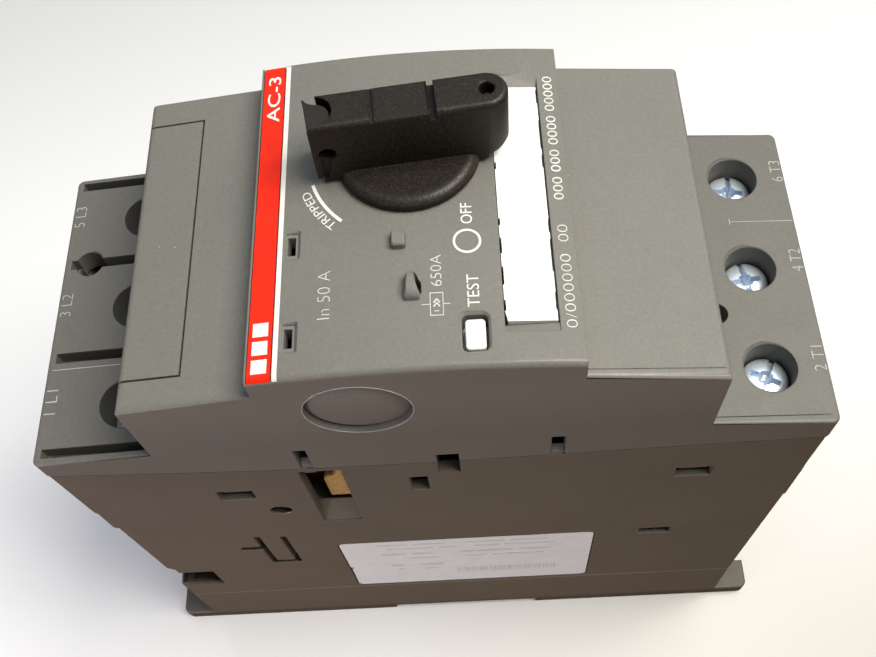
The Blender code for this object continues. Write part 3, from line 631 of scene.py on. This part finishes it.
def deck_steps():
    """Screw holes, the grooves between and beside the line poles, a small hole in each deck."""
    steps = []
    for x, y in TERMINALS.values():
        # the shaft of each screw goes on down under the deck
        steps += join(rod((x, y), 5.4, 99.1, 104.0)) + cut(hole((x, y), 4.1, 95.0, deck_z(x), 0.35))
    steps += cut(hole((-58.0, 9.2), 2.4, 95.0, deck_z(-58.0), 0.15))
    for low, high in ((-26.4, -24.9), (-9.8, -8.0), (8.3, 10.1), (24.9, 26.5)):
        steps += cut(box((-61.3, -43.3), (low, high), (104.6, 115.0)),
                     box((-60.8, -43.6), (low + 0.15, high - 0.15), (100.5, 105.0)))
    return steps + cut(hole((46.7, -8.4), 1.75, 105.0, deck_z(46.7), 0.15))


def front_steps():
    """Openings and recesses in the front face, the auxiliary bay and the fine joint lines."""
    steps = cut(rod(HANDLE_AXIS, 4.6, 120.0, 140.0),
                pocket((6.6, 10.2), (-25.05, -19.5), 120.0, 133.6, 0.8, 0.45, "Z", 5))
    for low, high in ((-22.65, -19.7), (-7.9, -4.9)):
        steps += cut(pocket((-17.9, -16.1), (low - 0.6, high + 0.6), 132.55, 133.05, 0.1, 0.35),
                     box((-17.65, -16.5), (low, high), (120.0, 140.0)))
    label = [(-22.4, 132.6), (-21.1, 132.5), (-21.1, 131.4), (19.8, 131.4), (19.8, 131.95),
             (22.2, 132.95), (22.5, 133.3), (22.5, 140.0), (-22.4, 140.0)]
    strip = [(-22.7, 131.85), (-19.1, 132.3), (-19.1, 140.0), (-22.7, 140.0)]
    line = [(23.05, block_z(23.05) - 0.12), (42.4, block_z(42.4) - 0.12), (42.4, 130.0), (23.05, 130.0)]
    bay = [(-44.0, 122.6), (-33.5, 123.8), (-33.5, 130.0), (-44.0, 130.0)]
    return steps + cut(prism(label, 12.4, 19.8, "X"), prism(strip, -30.0, 30.0),
                       prism(line, -26.1, -26.0),
                       box((43.2, 61.5), (-26.3, -26.2), (deck_z(52.0) - 0.75, 112.0)),
                       prism(bay, -23.0, 23.0))


def near_side_steps():
    """The round recess and the notches over the seam."""
    steps = cut(rod(BLANK_CENTRE, 7.85, -30.0, -25.7, "Y", 96))
    for low, high in SEAM_NOTCHES:
        steps += cut(near_pocket((low, high), (97.0, 107.4)),
                     box((low + 0.1, high - 0.1), (-26.6, -22.0), (97.0, 107.3)))
    return steps + cut(box((0.7, 4.3), (-30.0, -24.4), (98.0, 102.6)))


def boss_steps():
    """A small rounded peg on the front face, and a hood."""
    peg = loft([(rounded((-2.75, -0.6), (-8.7, -6.1), 0.4, 4), 132.0),
                (rounded((-2.7, -0.65), (-8.65, -6.15), 0.4, 4), 134.8),
                (rounded((-2.55, -0.8), (-8.45, -6.3), 0.35, 4), 135.05)], "Z")
    # the hood rises and narrows away from the near edge, open on one side
    hood = []
    for y, low_half, high_half, top in ((-17.05, 1.18, 1.12, 133.9), (-16.95, 1.18, 1.1, 134.4),
                                        (-16.7, 1.18, 1.06, 134.85), (-16.2, 1.18, 1.0, 135.2),
                                        (-15.4, 1.15, 0.92, 135.5), (-14.4, 1.1, 0.82, 135.62),
                                        (-13.7, 1.02, 0.74, 135.5), (-13.2, 0.92, 0.6, 135.15),
                                        (-12.9, 0.8, 0.42, 134.4)):
        hood.append(([(-low_half, 132.0), (low_half, 132.0), (low_half, 133.6), (high_half, top - 0.4),
                      (0.66 * high_half, top), (-0.66 * high_half, top), (-high_half, top - 0.4),
                      (-low_half, 133.6)], y))
    mouth = [(0.42, -13.6), (0.62, -15.0), (0.95, -16.0), (1.32, -16.0), (1.32, -14.4), (0.85, -13.6)]
    return join(peg, loft(hood, "Y")) + cut(prism(mouth, 131.4, 140.0, "Z"))


def make_front_cover():
    arch = [(x, front_z(x)) for x in [FRONT_HALF * step / 12 for step in range(-12, 13)]]
    shoulder = [(COVER_HALF, DECK_END_Z), (BLOCK_HALF, DECK_INNER_Z), (BLOCK_HALF, BLOCK_END_Z),
                (FRONT_HALF, BLOCK_INNER_Z)]
    outline = [(-x, z) for x, z in shoulder] + arch + shoulder[::-1]
    outline += [(x, z + GAP / 2) for x, z in reversed(PARTING)]
    body = prism(outline, -HALF_WIDTH, HALF_WIDTH)
    ease(body, 1.1, 6, where=upright_at_end)
    ease(body, EDGE_ROUND, 6, where=block_rim)
    ease(body, 0.6, 5, angle=5.0, where=deck_rim)
    ease(body, 0.35, 3, where=block_corner)
    hollow = [(-60.2, 90.0), (-60.2, 103.0), (-40.8, 103.0), (-40.8, 122.6), (-20.8, 124.8),
              (-20.8, 129.8), (20.8, 129.8), (20.8, 125.4), (40.8, 123.2), (40.8, 103.0),
              (60.2, 103.0), (60.2, 90.0)]
    inner = HALF_WIDTH - WALL
    steps = cut(prism(hollow, -inner, inner)) + deck_steps() + front_steps() + near_side_steps()
    steps += boss_steps() + join(*[snap_leg(x, side) for x in SNAP_WINDOWS for side in (-1, 1)])
    dress(model("front_cover_moulding", body, steps), HOUSING, "housing", ["front_cover"])
    # slightly domed blank that closes the round recess
    blank_cap = loft([(circle(BLANK_CENTRE, radius, 96), y) for radius, y in
                      ((7.8, -25.5), (7.8, -26.35), (7.55, -26.5), (7.1, -26.68), (6.4, -26.92),
                       (5.4, -27.14), (4.0, -27.32), (2.2, -27.42), (0.4, -27.45))], "Y")
    dress(model("round_blank", blank_cap, smooth=50.0), HOUSING, "housing")
    # a fine ring round the recess, in a light colour that paints the highlight on its edge
    rim = hoop((BLANK_CENTRE[0], -HALF_WIDTH, BLANK_CENTRE[1]), 7.93, 0.08)
    dress(model("blank_rim", rim), RIM_HIGHLIGHT, "housing")
    # sloped ledges behind the two notches over the seam
    for number, (low, high) in enumerate(SEAM_NOTCHES):
        ledge = prism([(-26.2, 97.0), (-26.2, 101.6), (-27.2, 100.6), (-27.2, 97.0)],
                      low + 0.05, high - 0.05, "X")
        dress(model(f"seam_ledge_{number}", ledge), HOUSING, "housing")


def snap_leg(x, side):
    """A leg under the front cover whose hook stands in the lower housing's window."""
    profile = [(23.4, 86.9), (25.0, 86.9), (26.6, 87.9), (26.6, 88.5), (25.0, 88.5), (25.0, 102.2),
               (26.2, 102.2), (26.2, 106.8), (23.4, 106.8)]
    outline = [(side * y, z) for y, z in profile]
    return prism(outline, x[0] + 0.7, x[1] - 0.7, "X")


def make_aux_cover():
    outline = [(-43.0, 122.9), (-33.8, 124.1), (-33.8, block_z(-33.8)), (-43.0, BLOCK_END_Z)]
    body = prism(outline, -22.7, 22.7)
    ease(body, EDGE_ROUND, 6, where=lambda middle, along: middle.x < -42.9 and middle.z > 125.0)
    dress(model("aux_contact_cover", body), HOUSING, "aux_cover", ["aux_cover"])


# Labels and print

def add_block(mesh, x, y, z):
    """Add a closed rectangular block to a mesh."""
    corners = [mesh.verts.new((a, b, c)) for c in z for b in y for a in x]
    for face in ((0, 2, 3, 1), (4, 5, 7, 6), (0, 1, 5, 4), (2, 6, 7, 3), (0, 4, 6, 2), (1, 3, 7, 5)):
        mesh.faces.new([corners[i] for i in face])


def draped(name, outline, height, thickness, finish, stands_for=(), sink=0.3):
    """A thin film that follows a surface: its outline cut up so that it can bend."""
    shape = prism(outline, 0.0, 1.0, "Z")
    low_x = min(x for x, _ in outline)
    wide = max(x for x, _ in outline) - low_x
    cuts = max(1, round(wide / 0.8))
    planes = [((low_x + wide * step / cuts, 0, 0), (1, 0, 0)) for step in range(1, cuts)]
    planes += [((0, side * y, 0), (0, 1, 0)) for side in (-1, 1)
               for y in (26.2, 26.45, 26.7, 26.9, 27.1, 27.25)]
    for point, normal in planes:
        bmesh.ops.bisect_plane(shape, geom=shape.verts[:] + shape.edges[:] + shape.faces[:],
                               plane_co=point, plane_no=normal)
    for vert in shape.verts:
        top = height(vert.co.x, vert.co.y)
        vert.co.z = top + thickness if vert.co.z > 0.5 else top - sink
    dress(model(name, shape), finish, "housing", stands_for)


def make_labels():
    # right-hand long side, then the far end, the left-hand side and the near end
    teeth = ((4.5, 6.8), (7.9, 13.2), (16.5, 19.2))
    gaps = ((4.3, 5.5), (7.6, 10.2), (12.3, 15.2), (17.6, 19.3))
    right, left = 19.55, 12.5
    outline = [(right, -20.9)]
    for low, high in sorted([(-b, -a) for a, b in teeth] + list(teeth)):
        outline += [(right, low), (right - 0.12, low), (right - 0.12, high), (right, high)]
    outline += [(right, 19.6), (left + 0.35, 19.6)]
    for low, high in sorted([(-b, -a) for a, b in gaps] + list(gaps), reverse=True):
        outline += [(left, high), (left + 0.2, high), (left + 0.2, low), (left, low)]
    outline.append((left + 0.35, -20.9))
    draped("front_label_film", outline, front_z, 0.04, PAPER, ["front_label"], 1.6)
    along = (-27.35, 27.35)
    draped("marking_strip_film", rectangle((-22.55, -19.25), along), front_z, 0.03, RED_FILM,
           ["marking_strip"], 0.7)
    draped("strip_line", rectangle((-19.05, -18.35), along), front_z, 0.03, WHITE_INK, sink=0.1)
    x, z = SIDE_LABEL
    outline = rounded(x, z, 1.2, 4)
    outline[10:10] = [(x[0], 38.9), (x[0] + 1.0, 38.3), (x[0] + 0.15, 37.2)]
    sticker = prism(outline, -HALF_WIDTH + 0.02, -HALF_WIDTH + 0.45, "Y")
    dress(model("side_label_film", sticker), PALE_FILM, "housing", ["side_label"])
    rows = ((53.4, 0.9, (-15.0, -8.5, -7.4, -1.0, 3.0, 11.0, 12.2, 19.5)),
            (50.6, 0.9, (-13.0, -3.5, -2.3, 1.2, 4.6, 9.8, 10.8, 21.0)),
            (46.6, 1.3, (-14.6, -9.4, -8.2, -3.6, 1.6, 12.5, 13.8, 20.4)),
            (43.6, 0.9, (-9.0, -2.8, 2.6, 7.2, 8.2, 19.0)),
            (38.0, 1.6, (-13.4, -10.6, -7.0, -2.2)),
            (35.0, 1.1, (-12.4, -10.8, -6.4, -3.4)))
    shape = bmesh.new()
    for row_z, tall, ends in rows:
        for low, high in zip(ends[::2], ends[1::2]):
            add_block(shape, (low, high), (-HALF_WIDTH - 0.005, -HALF_WIDTH + 0.1), (row_z, row_z + tall))
    bar_x = 0.5
    for step in range(34):
        width = (0.28, 0.5, 0.2, 0.36, 0.24)[step * 7 % 5]
        add_block(shape, (bar_x, bar_x + width), (-HALF_WIDTH - 0.005, -HALF_WIDTH + 0.1), (31.2, 35.0))
        bar_x += width + (0.3, 0.22, 0.44)[step * 5 % 3]
    dress(mesh_object("side_label_lines", shape), GREY_INK, "housing")


def text_points(text, bold):
    """Points and faces of a line of text, scaled to fill a unit square."""
    curve = bpy.data.curves.new("line", "FONT")
    curve.body = text
    curve.offset = bold
    curve.resolution_u = 4
    holder = bpy.data.objects.new("line", curve)
    bpy.context.scene.collection.objects.link(holder)
    bpy.context.view_layer.update()
    evaluated = holder.evaluated_get(bpy.context.evaluated_depsgraph_get())
    mesh = bpy.data.meshes.new_from_object(evaluated)
    across, up = zip(*[v.co[:2] for v in mesh.vertices])
    faces = [tuple(p.vertices) for p in mesh.polygons]
    bpy.data.objects.remove(holder)
    bpy.data.curves.remove(curve)
    bpy.data.meshes.remove(mesh)
    wide, tall = max(across) - min(across), max(up) - min(up)
    return [((u - min(across)) / wide, (v - min(up)) / tall) for u, v in zip(across, up)], faces


class Print:
    """A layer of print: flat shapes gathered on one surface, as one thin mesh."""

    def __init__(self, name, height, thickness=0.025):
        self.name = name
        self.height = height
        self.thickness = thickness
        self.mesh = bmesh.new()

    def place(self, points, faces):
        """points are (x, y) on the surface."""
        verts = [self.mesh.verts.new((x, y, self.height(x, y) + self.thickness)) for x, y in points]
        for face in faces:
            self.mesh.faces.new([verts[i] for i in face])

    def line(self, text, x, y, height, width, bold=0.0):
        """Text that reads towards +Y, its foot at x and its start at y."""
        points, faces = text_points(text, bold)
        self.place([(x - v * height, y + u * width) for u, v in points], faces)

    def curved(self, text, centre, radius, start, end, height, bold=0.0):
        """Text outside a circle, its foot on the circle, from one angle to the other."""
        points, faces = text_points(text, bold)
        bent = []
        for u, v in points:
            angle = math.radians(start + (end - start) * u)
            reach = radius + height * v
            bent.append((centre[0] + reach * math.cos(angle), centre[1] + reach * math.sin(angle)))
        self.place(bent, faces)

    def stroke(self, first, second, width=0.12):
        """A straight line of the given width between two points."""
        run = Vector(second) - Vector(first)
        side = Vector((-run.y, run.x)).normalized() * width / 2
        ends = [Vector(first) - side, Vector(second) - side, Vector(second) + side, Vector(first) + side]
        self.place([tuple(p) for p in ends], [(0, 1, 2, 3)])

    def bar(self, x, y):
        self.place(rectangle(x, y), [(0, 1, 2, 3)])

    def ring(self, centre, outer, inner, start=0.0, end=360.0, steps=48):
        points = arc(centre, outer, start, end, steps) + arc(centre, inner, start, end, steps)
        self.place(points, [(i, i + 1, steps + 2 + i, steps + 1 + i) for i in range(steps)])

    def finish(self, finish):
        bmesh.ops.recalc_face_normals(self.mesh, faces=self.mesh.faces)
        for face in self.mesh.faces:
            if face.normal.z < 0:
                face.normal_flip()
        bmesh.ops.solidify(self.mesh, geom=self.mesh.faces[:], thickness=self.thickness + 0.03)
        dress(mesh_object(self.name, self.mesh), finish, "housing")


def make_print():
    def on_deck(x, y):
        return deck_z(x)

    bold = Print("front_print_bold", front_z)
    bold.line("OFF", 8.8, -5.0, 1.65, 3.5, 0.0)
    bold.line("TEST", 9.2, -18.5, 1.65, 5.1, -0.006)
    bold.ring((7.9, -7.9), 2.0, 1.66)
    # arc of the tripped position, with its word outside it
    bold.ring(HANDLE_AXIS, 15.1, 14.6, 197.0, 228.5, 24)
    bold.curved("TRIPPED", HANDLE_AXIS, 15.6, 228.0, 200.0, 1.3, -0.004)
    bold.finish(WHITE_INK)

    fine = Print("front_print_fine", front_z)
    fine.line("In 50 A", -11.3, -18.9, 1.75, 7.6, -0.022)
    fine.line("650A", 4.15, -15.0, 1.5, 5.0, -0.018)
    # trip symbol: a box on a line, with two arrowheads in it
    for x in ((2.45, 2.55), (4.2, 4.3)):
        fine.bar(x, (-19.6, -16.0))
    for y in ((-19.6, -19.48), (-16.12, -16.0)):
        fine.bar((2.45, 4.3), y)
    fine.bar((1.3, 2.45), (-17.87, -17.75))
    fine.bar((4.3, 5.2), (-17.87, -17.75))
    for y in (-17.6, -17.0):
        fine.stroke((2.95, y - 0.6), (3.38, y), 0.22)
        fine.stroke((3.38, y), (3.8, y - 0.6), 0.22)
    fine.bar((3.0, 3.7), (-18.95, -18.82))
    # plain figures in place of a maker's order code
    fine.line("0/000000  00", 22.1, -22.0, 1.45, 16.5, -0.02)
    fine.line("000 000 0000 00000", 22.1, -1.2, 1.45, 23.0, -0.004)
    fine.finish(FINE_INK)

    strip = Print("strip_print", front_z, 0.05)
    for low in (-26.2, -23.4, -20.6):
        strip.bar((-22.0, -19.8), (low, low + 2.1))
    strip.line("AC-3", -19.85, 16.5, 2.0, 9.0, 0.004)
    strip.finish(WHITE_INK)

    marks = Print("terminal_print", on_deck)
    for name, x, tops in (("L", -60.0, ("1", "3", "5")), ("T", 62.2, ("2", "4", "6"))):
        for index, y in enumerate(POLES.values()):
            marks.line(f"{tops[index]} {name}{index + 1}", x, y - 0.9, 1.9, 4.3, -0.02)
    marks.bar((-61.6, -43.3), (-11.05, -10.93))
    marks.bar((51.6, 62.2), (8.96, 9.04))
    marks.bar((51.5, 51.6), (8.4, 9.6))
    marks.finish(DULL_INK)


# Terminals

def make_screw(name, x, y, angle):
    top = SCREW_TOP_Z[name[0]]
    head = turned([(3.5, 99.3), (3.75, 99.5), (3.75, top - 1.15), (3.68, top - 0.8), (3.42, top - 0.5),
                   (2.6, top - 0.2), (1.5, top - 0.04), (0.3, top)], (x, y), 64)
    steps = join(rod((x, y), 2.5, 89.5, 99.6, sides=32))
    steps += cut(box((x - 5.0, x + 5.0), (y - 0.45, y + 0.45), (top - 1.7, top + 1.0)))
    for wide, deep in ((2.6, 0.5), (0.5, 2.6)):
        arm, mouth = [rectangle((x - a, x + a), (y - b, y + b))
                      for a, b in ((0.7 * wide, 0.8 * deep), (wide, deep))]
        steps += cut(loft([(arm, top - 2.6), (mouth, top + 0.1)]))
    steps += cut(turned([(0.6, top - 3.0), (1.2, top - 1.0), (1.45, top + 1.0)], (x, y), 8))
    thing = model(f"clamp_screw_{name}", head, steps, turn=((x, y), math.radians(angle)))
    dress(thing, ZINC, f"screw_{name}", [f"terminal_screw_{name}"])


def make_cage(name, x, y):
    cage = ease(box((x - 6.0, x + 6.0), (y - 6.8, y + 6.8), (72.0, 93.3)), 0.6, 3)
    window = pocket((y - 5.2, y + 5.2), (74.0, 91.3), x - 9.0, x + 9.0, 0.8, 0.0, "X", 4)
    steps = cut(window, rod((x, y), 2.9, 90.3, 95.3, sides=32))
    # pressed teeth across the clamping face
    for step in range(5):
        groove = x - 3.6 + step * 1.8
        steps += cut(prism([(groove - 0.35, 74.3), (groove, 73.6), (groove + 0.35, 74.3)],
                           y - 5.0, y + 5.0))
    thing = model(f"clamp_cage_body_{name}", cage, steps)
    dress(thing, STEEL, f"clamp_{name}", [f"clamp_cage_{name}"])


def make_terminals():
    angles = {"l1": 20.0, "l2": 70.0, "l3": -35.0, "t1": 62.0, "t2": 98.0, "t3": 82.0}
    for name, (x, y) in TERMINALS.items():
        make_screw(name, x, y, angles[name])
        make_cage(name, x, y)


# Handle and button

def make_handle():
    x, y = HANDLE_AXIS
    top = HANDLE_TOP_Z
    disc = turned([(10.6, 134.15), (10.7, 134.25), (10.7, 134.5), (10.62, 134.85), (10.38, 135.22),
                   (10.02, 135.52), (9.6, 135.71), (9.2, 135.79), (8.9, 135.8), (1.0, 135.8)],
                  (x, y), 96)

    def bar(half, left, right):
        return [(x + left, y + half), (x + left, y - half),
                *arc((x + right - half, y), half, -90.0, 90.0, 20)]

    def pin_hole():
        return rod((x - 11.2, 139.9), 1.3, y - 6.0, y + 6.0, "Y", 32)

    body = loft([(bar(half, left, right), z) for half, left, right, z in
                 ((3.4, -13.3, 14.0, 134.4), (3.38, -13.4, 14.9, 136.2), (3.12, -13.3, 14.9, top - 0.9),
                  (3.07, -13.25, 14.85, top - 0.6), (2.95, -13.2, 14.73, top - 0.34),
                  (2.76, -13.15, 14.54, top - 0.15), (2.52, -13.1, 14.3, top - 0.04),
                  (2.25, -13.05, 14.03, top))])
    scoop = prism([(x - 20.0, y - 2.5), *arc((x - 12.1, y), 2.5, -90.0, 90.0, 20),
                   (x - 20.0, y + 2.5)], 137.0, 150.0, "Z")
    channel = prism([(x - 12.2, 139.8), (x - 10.7, 139.2), (x - 11.9, 134.8), (x - 12.7, 134.8)],
                    y - 6.0, y - 2.9)
    steps = join(body, rod((x, y), 4.0, 124.8, 135.0),
                 box((x - 1.3, x + 1.3), (y - 3.4, y + 3.4), (121.0, 125.5)))
    steps += cut(scoop, channel, box((x - 20.0, x - 11.8), (y + 1.5, y + 6.0), (143.2, 150.0)),
                 pin_hole(), hole((x + 11.9, y), 1.1, 139.0, top, 0.2, sides=32))
    steps += join(turned([(0.6, 138.0), (0.6, 144.0), (0.5, 144.2), (0.2, 144.3)],
                         (x + 11.9, y - 0.15), 24))
    steps += cut(box((x + 11.6, x + 20.0), (y - 6.0, y + 6.0), (133.0, 135.3)),
                 box((x - 20.0, x - 12.3), (y - 6.0, y - 2.6), (133.0, 135.0)))
    for low, high, depth in ((-4.6, -3.9, 0.5), (3.8, 4.7, 1.5), (-3.7, 3.7, 0.3)):
        steps += cut(box((x + low, x + high), (y - 5.0, y + 5.0), (top - depth, 150.0)))
    thing = model("handle_grip", disc, steps, turn=(HANDLE_AXIS, HANDLE_TURN))
    dress(thing, HANDLE, "handle", ["rotary_handle"])
    tongue = prism([(x - 13.3, y - 2.35), *arc((x - 12.1, y - 0.3), 2.05, -90.0, 90.0, 20),
                    (x - 12.6, y + 1.95), (x - 13.1, y + 2.3), (x - 13.5, y + 2.9),
                    (x - 13.75, y + 2.8), (x - 13.6, y + 1.8)], 137.3, 145.0, "Z")
    ease(tongue, 0.15, 2, where=lambda middle, along: abs(along.z) < 0.5)
    thing = model("padlock_slide", tongue, cut(pin_hole()), turn=(HANDLE_AXIS, HANDLE_TURN))
    dress(thing, TONGUE, "lock_slide", ["lock_slide"])


def make_button():
    cap = prism(rounded((7.0, 9.8), (-24.6, -20.0), 0.6, 5), 125.0, 133.0, "Z")
    ease(cap, 0.3, 3, where=lambda middle, along: middle.z > 132.5)
    thing = model("test_push_button", cap, join(box((5.6, 11.2), (-25.0, -19.4), (127.8, 129.5))))
    dress(thing, WHITE, "test_button", ["test_button"])


def make_springs():
    """Make the button's spring and the rail latch's spring, each with a mesh of its own."""
    coil = model("button_spring", wound((8.4, -22.3), 1.5, 0.3, 109.8, 124.3, 6))
    dress(coil, SPRING, "housing", ["test_spring"])
    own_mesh(coil)
    coil = model("latch_spring", wound((0.0, 2.1), 1.2, 0.3, 30.8, 43.3, 6, "X"))
    dress(coil, SPRING, "housing", ["rail_latch_spring"])
    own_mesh(coil)


def carry_over():
    """Give the pieces that keep their CAD shape their own finishes."""
    finishes = ((COPPER, "copper", ("line_bar", "load_contact", "load_bar", "trip_coil",
                                    "contact_bridge")),
                (STEEL, "steel", ("coil_yoke", "plunger", "mechanism_frame")),
                (SPRING, "spring_steel", ("mechanism_spring",)),
                (GREY_FIBRE, "grey_fibre", ("arc_chute",)),
                (RESIN, "dark_resin", ("contact_carrier", "drive_cam", "trip_bar")),
                (BASE, "base_grey", ("rail_latch",)))
    for name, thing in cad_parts.items():
        for finish, slot, starts in finishes:
            if name.startswith(starts) and not thing.hide_render:
                thing.data.materials.clear()
                thing.data.materials.append(finish)


make_rear_base()
make_lower_housing()
make_driver_board()
make_front_cover()
make_aux_cover()
make_labels()
make_print()
make_terminals()
make_handle()
make_button()
make_springs()
carry_over()


# Floor, light and camera

def area_light(name, place, target, size, power, colour):
    data = bpy.data.lights.new(name, "AREA")
    data.shape = "RECTANGLE"
    data.size, data.size_y = size
    data.energy = power
    data.color = colour
    lamp = bpy.data.objects.new(name, data)
    bpy.context.scene.collection.objects.link(lamp)
    lamp.location = place
    lamp.rotation_euler = (Vector(target) - Vector(place)).to_track_quat("-Z", "Y").to_euler()


def studio():
    floor_mesh = bmesh.new()
    bmesh.ops.create_grid(floor_mesh, x_segments=1, y_segments=1, size=20000.0)
    floor = mesh_object("floor", floor_mesh)
    finish, tree, shader, where = blank("floor_paper")
    tint = blend_colour(tree, noise(tree, where, 60.0, 3.0), (0.85, 0.87, 0.9), (0.86, 0.88, 0.91))
    # the paper lies in soft shade towards one corner
    reach = node(tree, "VectorMath", {0: where, 1: (0.13, -0.09, 0.0)},
                 operation="DISTANCE").outputs["Value"]
    tint = blend_colour(tree, remap(tree, reach, 0.0, 0.16), (0.5, 0.465, 0.42), tint)
    # painted shade: the paper greys towards the back
    depth = node(tree, "SeparateXYZ", {"Vector": where}).outputs["Y"]
    tint = blend_colour(tree, remap(tree, depth, 0.08, 0.26, 0.0, 0.6), tint, (0.42, 0.41, 0.42))
    coat(tree, shader, tint, 0.9, 0.1)
    floor.data.materials.append(finish)
    floor.visible_diffuse = False
    floor.visible_glossy = False
    area_light("overhead", (0.3, -0.03, 0.68), (0.0, 0.0, 0.1), (0.4, 0.4), 6.0, (1.0, 0.94, 0.8))
    area_light("ceiling", (0.1, 0.4, 0.95), (0.0, 0.0, 0.1), (1.5, 1.1), 4.8, (0.84, 0.92, 1.0))
    area_light("cool_left", (-0.2, -0.2, 0.06), (-0.04, -0.03, 0.06), (0.1, 0.06), 0.3,
               (1.0, 0.86, 0.95))
    # light thrown up by the paper in front
    area_light("paper_bounce", (0.0, -0.15, 0.03), (0.0, -0.0275, 0.01), (0.16, 0.02), 0.045,
               (1.0, 0.93, 0.8))
    world = bpy.data.worlds.new("studio")
    bpy.context.scene.world = world
    world.use_nodes = True
    tree = world.node_tree
    facing = node(tree, "SeparateXYZ", {"Vector": node(tree, "TexCoord").outputs["Generated"]})
    # light thrown back by a warm desk from below, dim room above
    room = blend_colour(tree, remap(tree, facing.outputs["Z"], -0.03, 0.03), (0.17, 0.095, 0.025),
                        (0.19, 0.19, 0.2))
    tree.links.new(room, tree.nodes["Background"].inputs["Color"])

    data = bpy.data.cameras.new("camera")
    data.lens = 41.77
    data.sensor_width = 36.0
    data.sensor_fit = "HORIZONTAL"
    data.clip_start = 0.01
    camera = bpy.data.objects.new("camera", data)
    bpy.context.scene.collection.objects.link(camera)
    right = Vector((0.99707634, -0.03106567, -0.06981187))
    down = Vector((-0.06024446, -0.88160663, -0.46812429))
    forward = Vector((-0.04700401, 0.47096143, -0.88090065))
    turn = Matrix((right, -down, -forward)).transposed()
    camera.matrix_world = Matrix.Translation((0.009804, -0.085465, 0.253256)) @ turn.to_4x4()
    bpy.context.scene.camera = camera
    bpy.context.scene.view_settings.view_transform = "Standard"


studio()
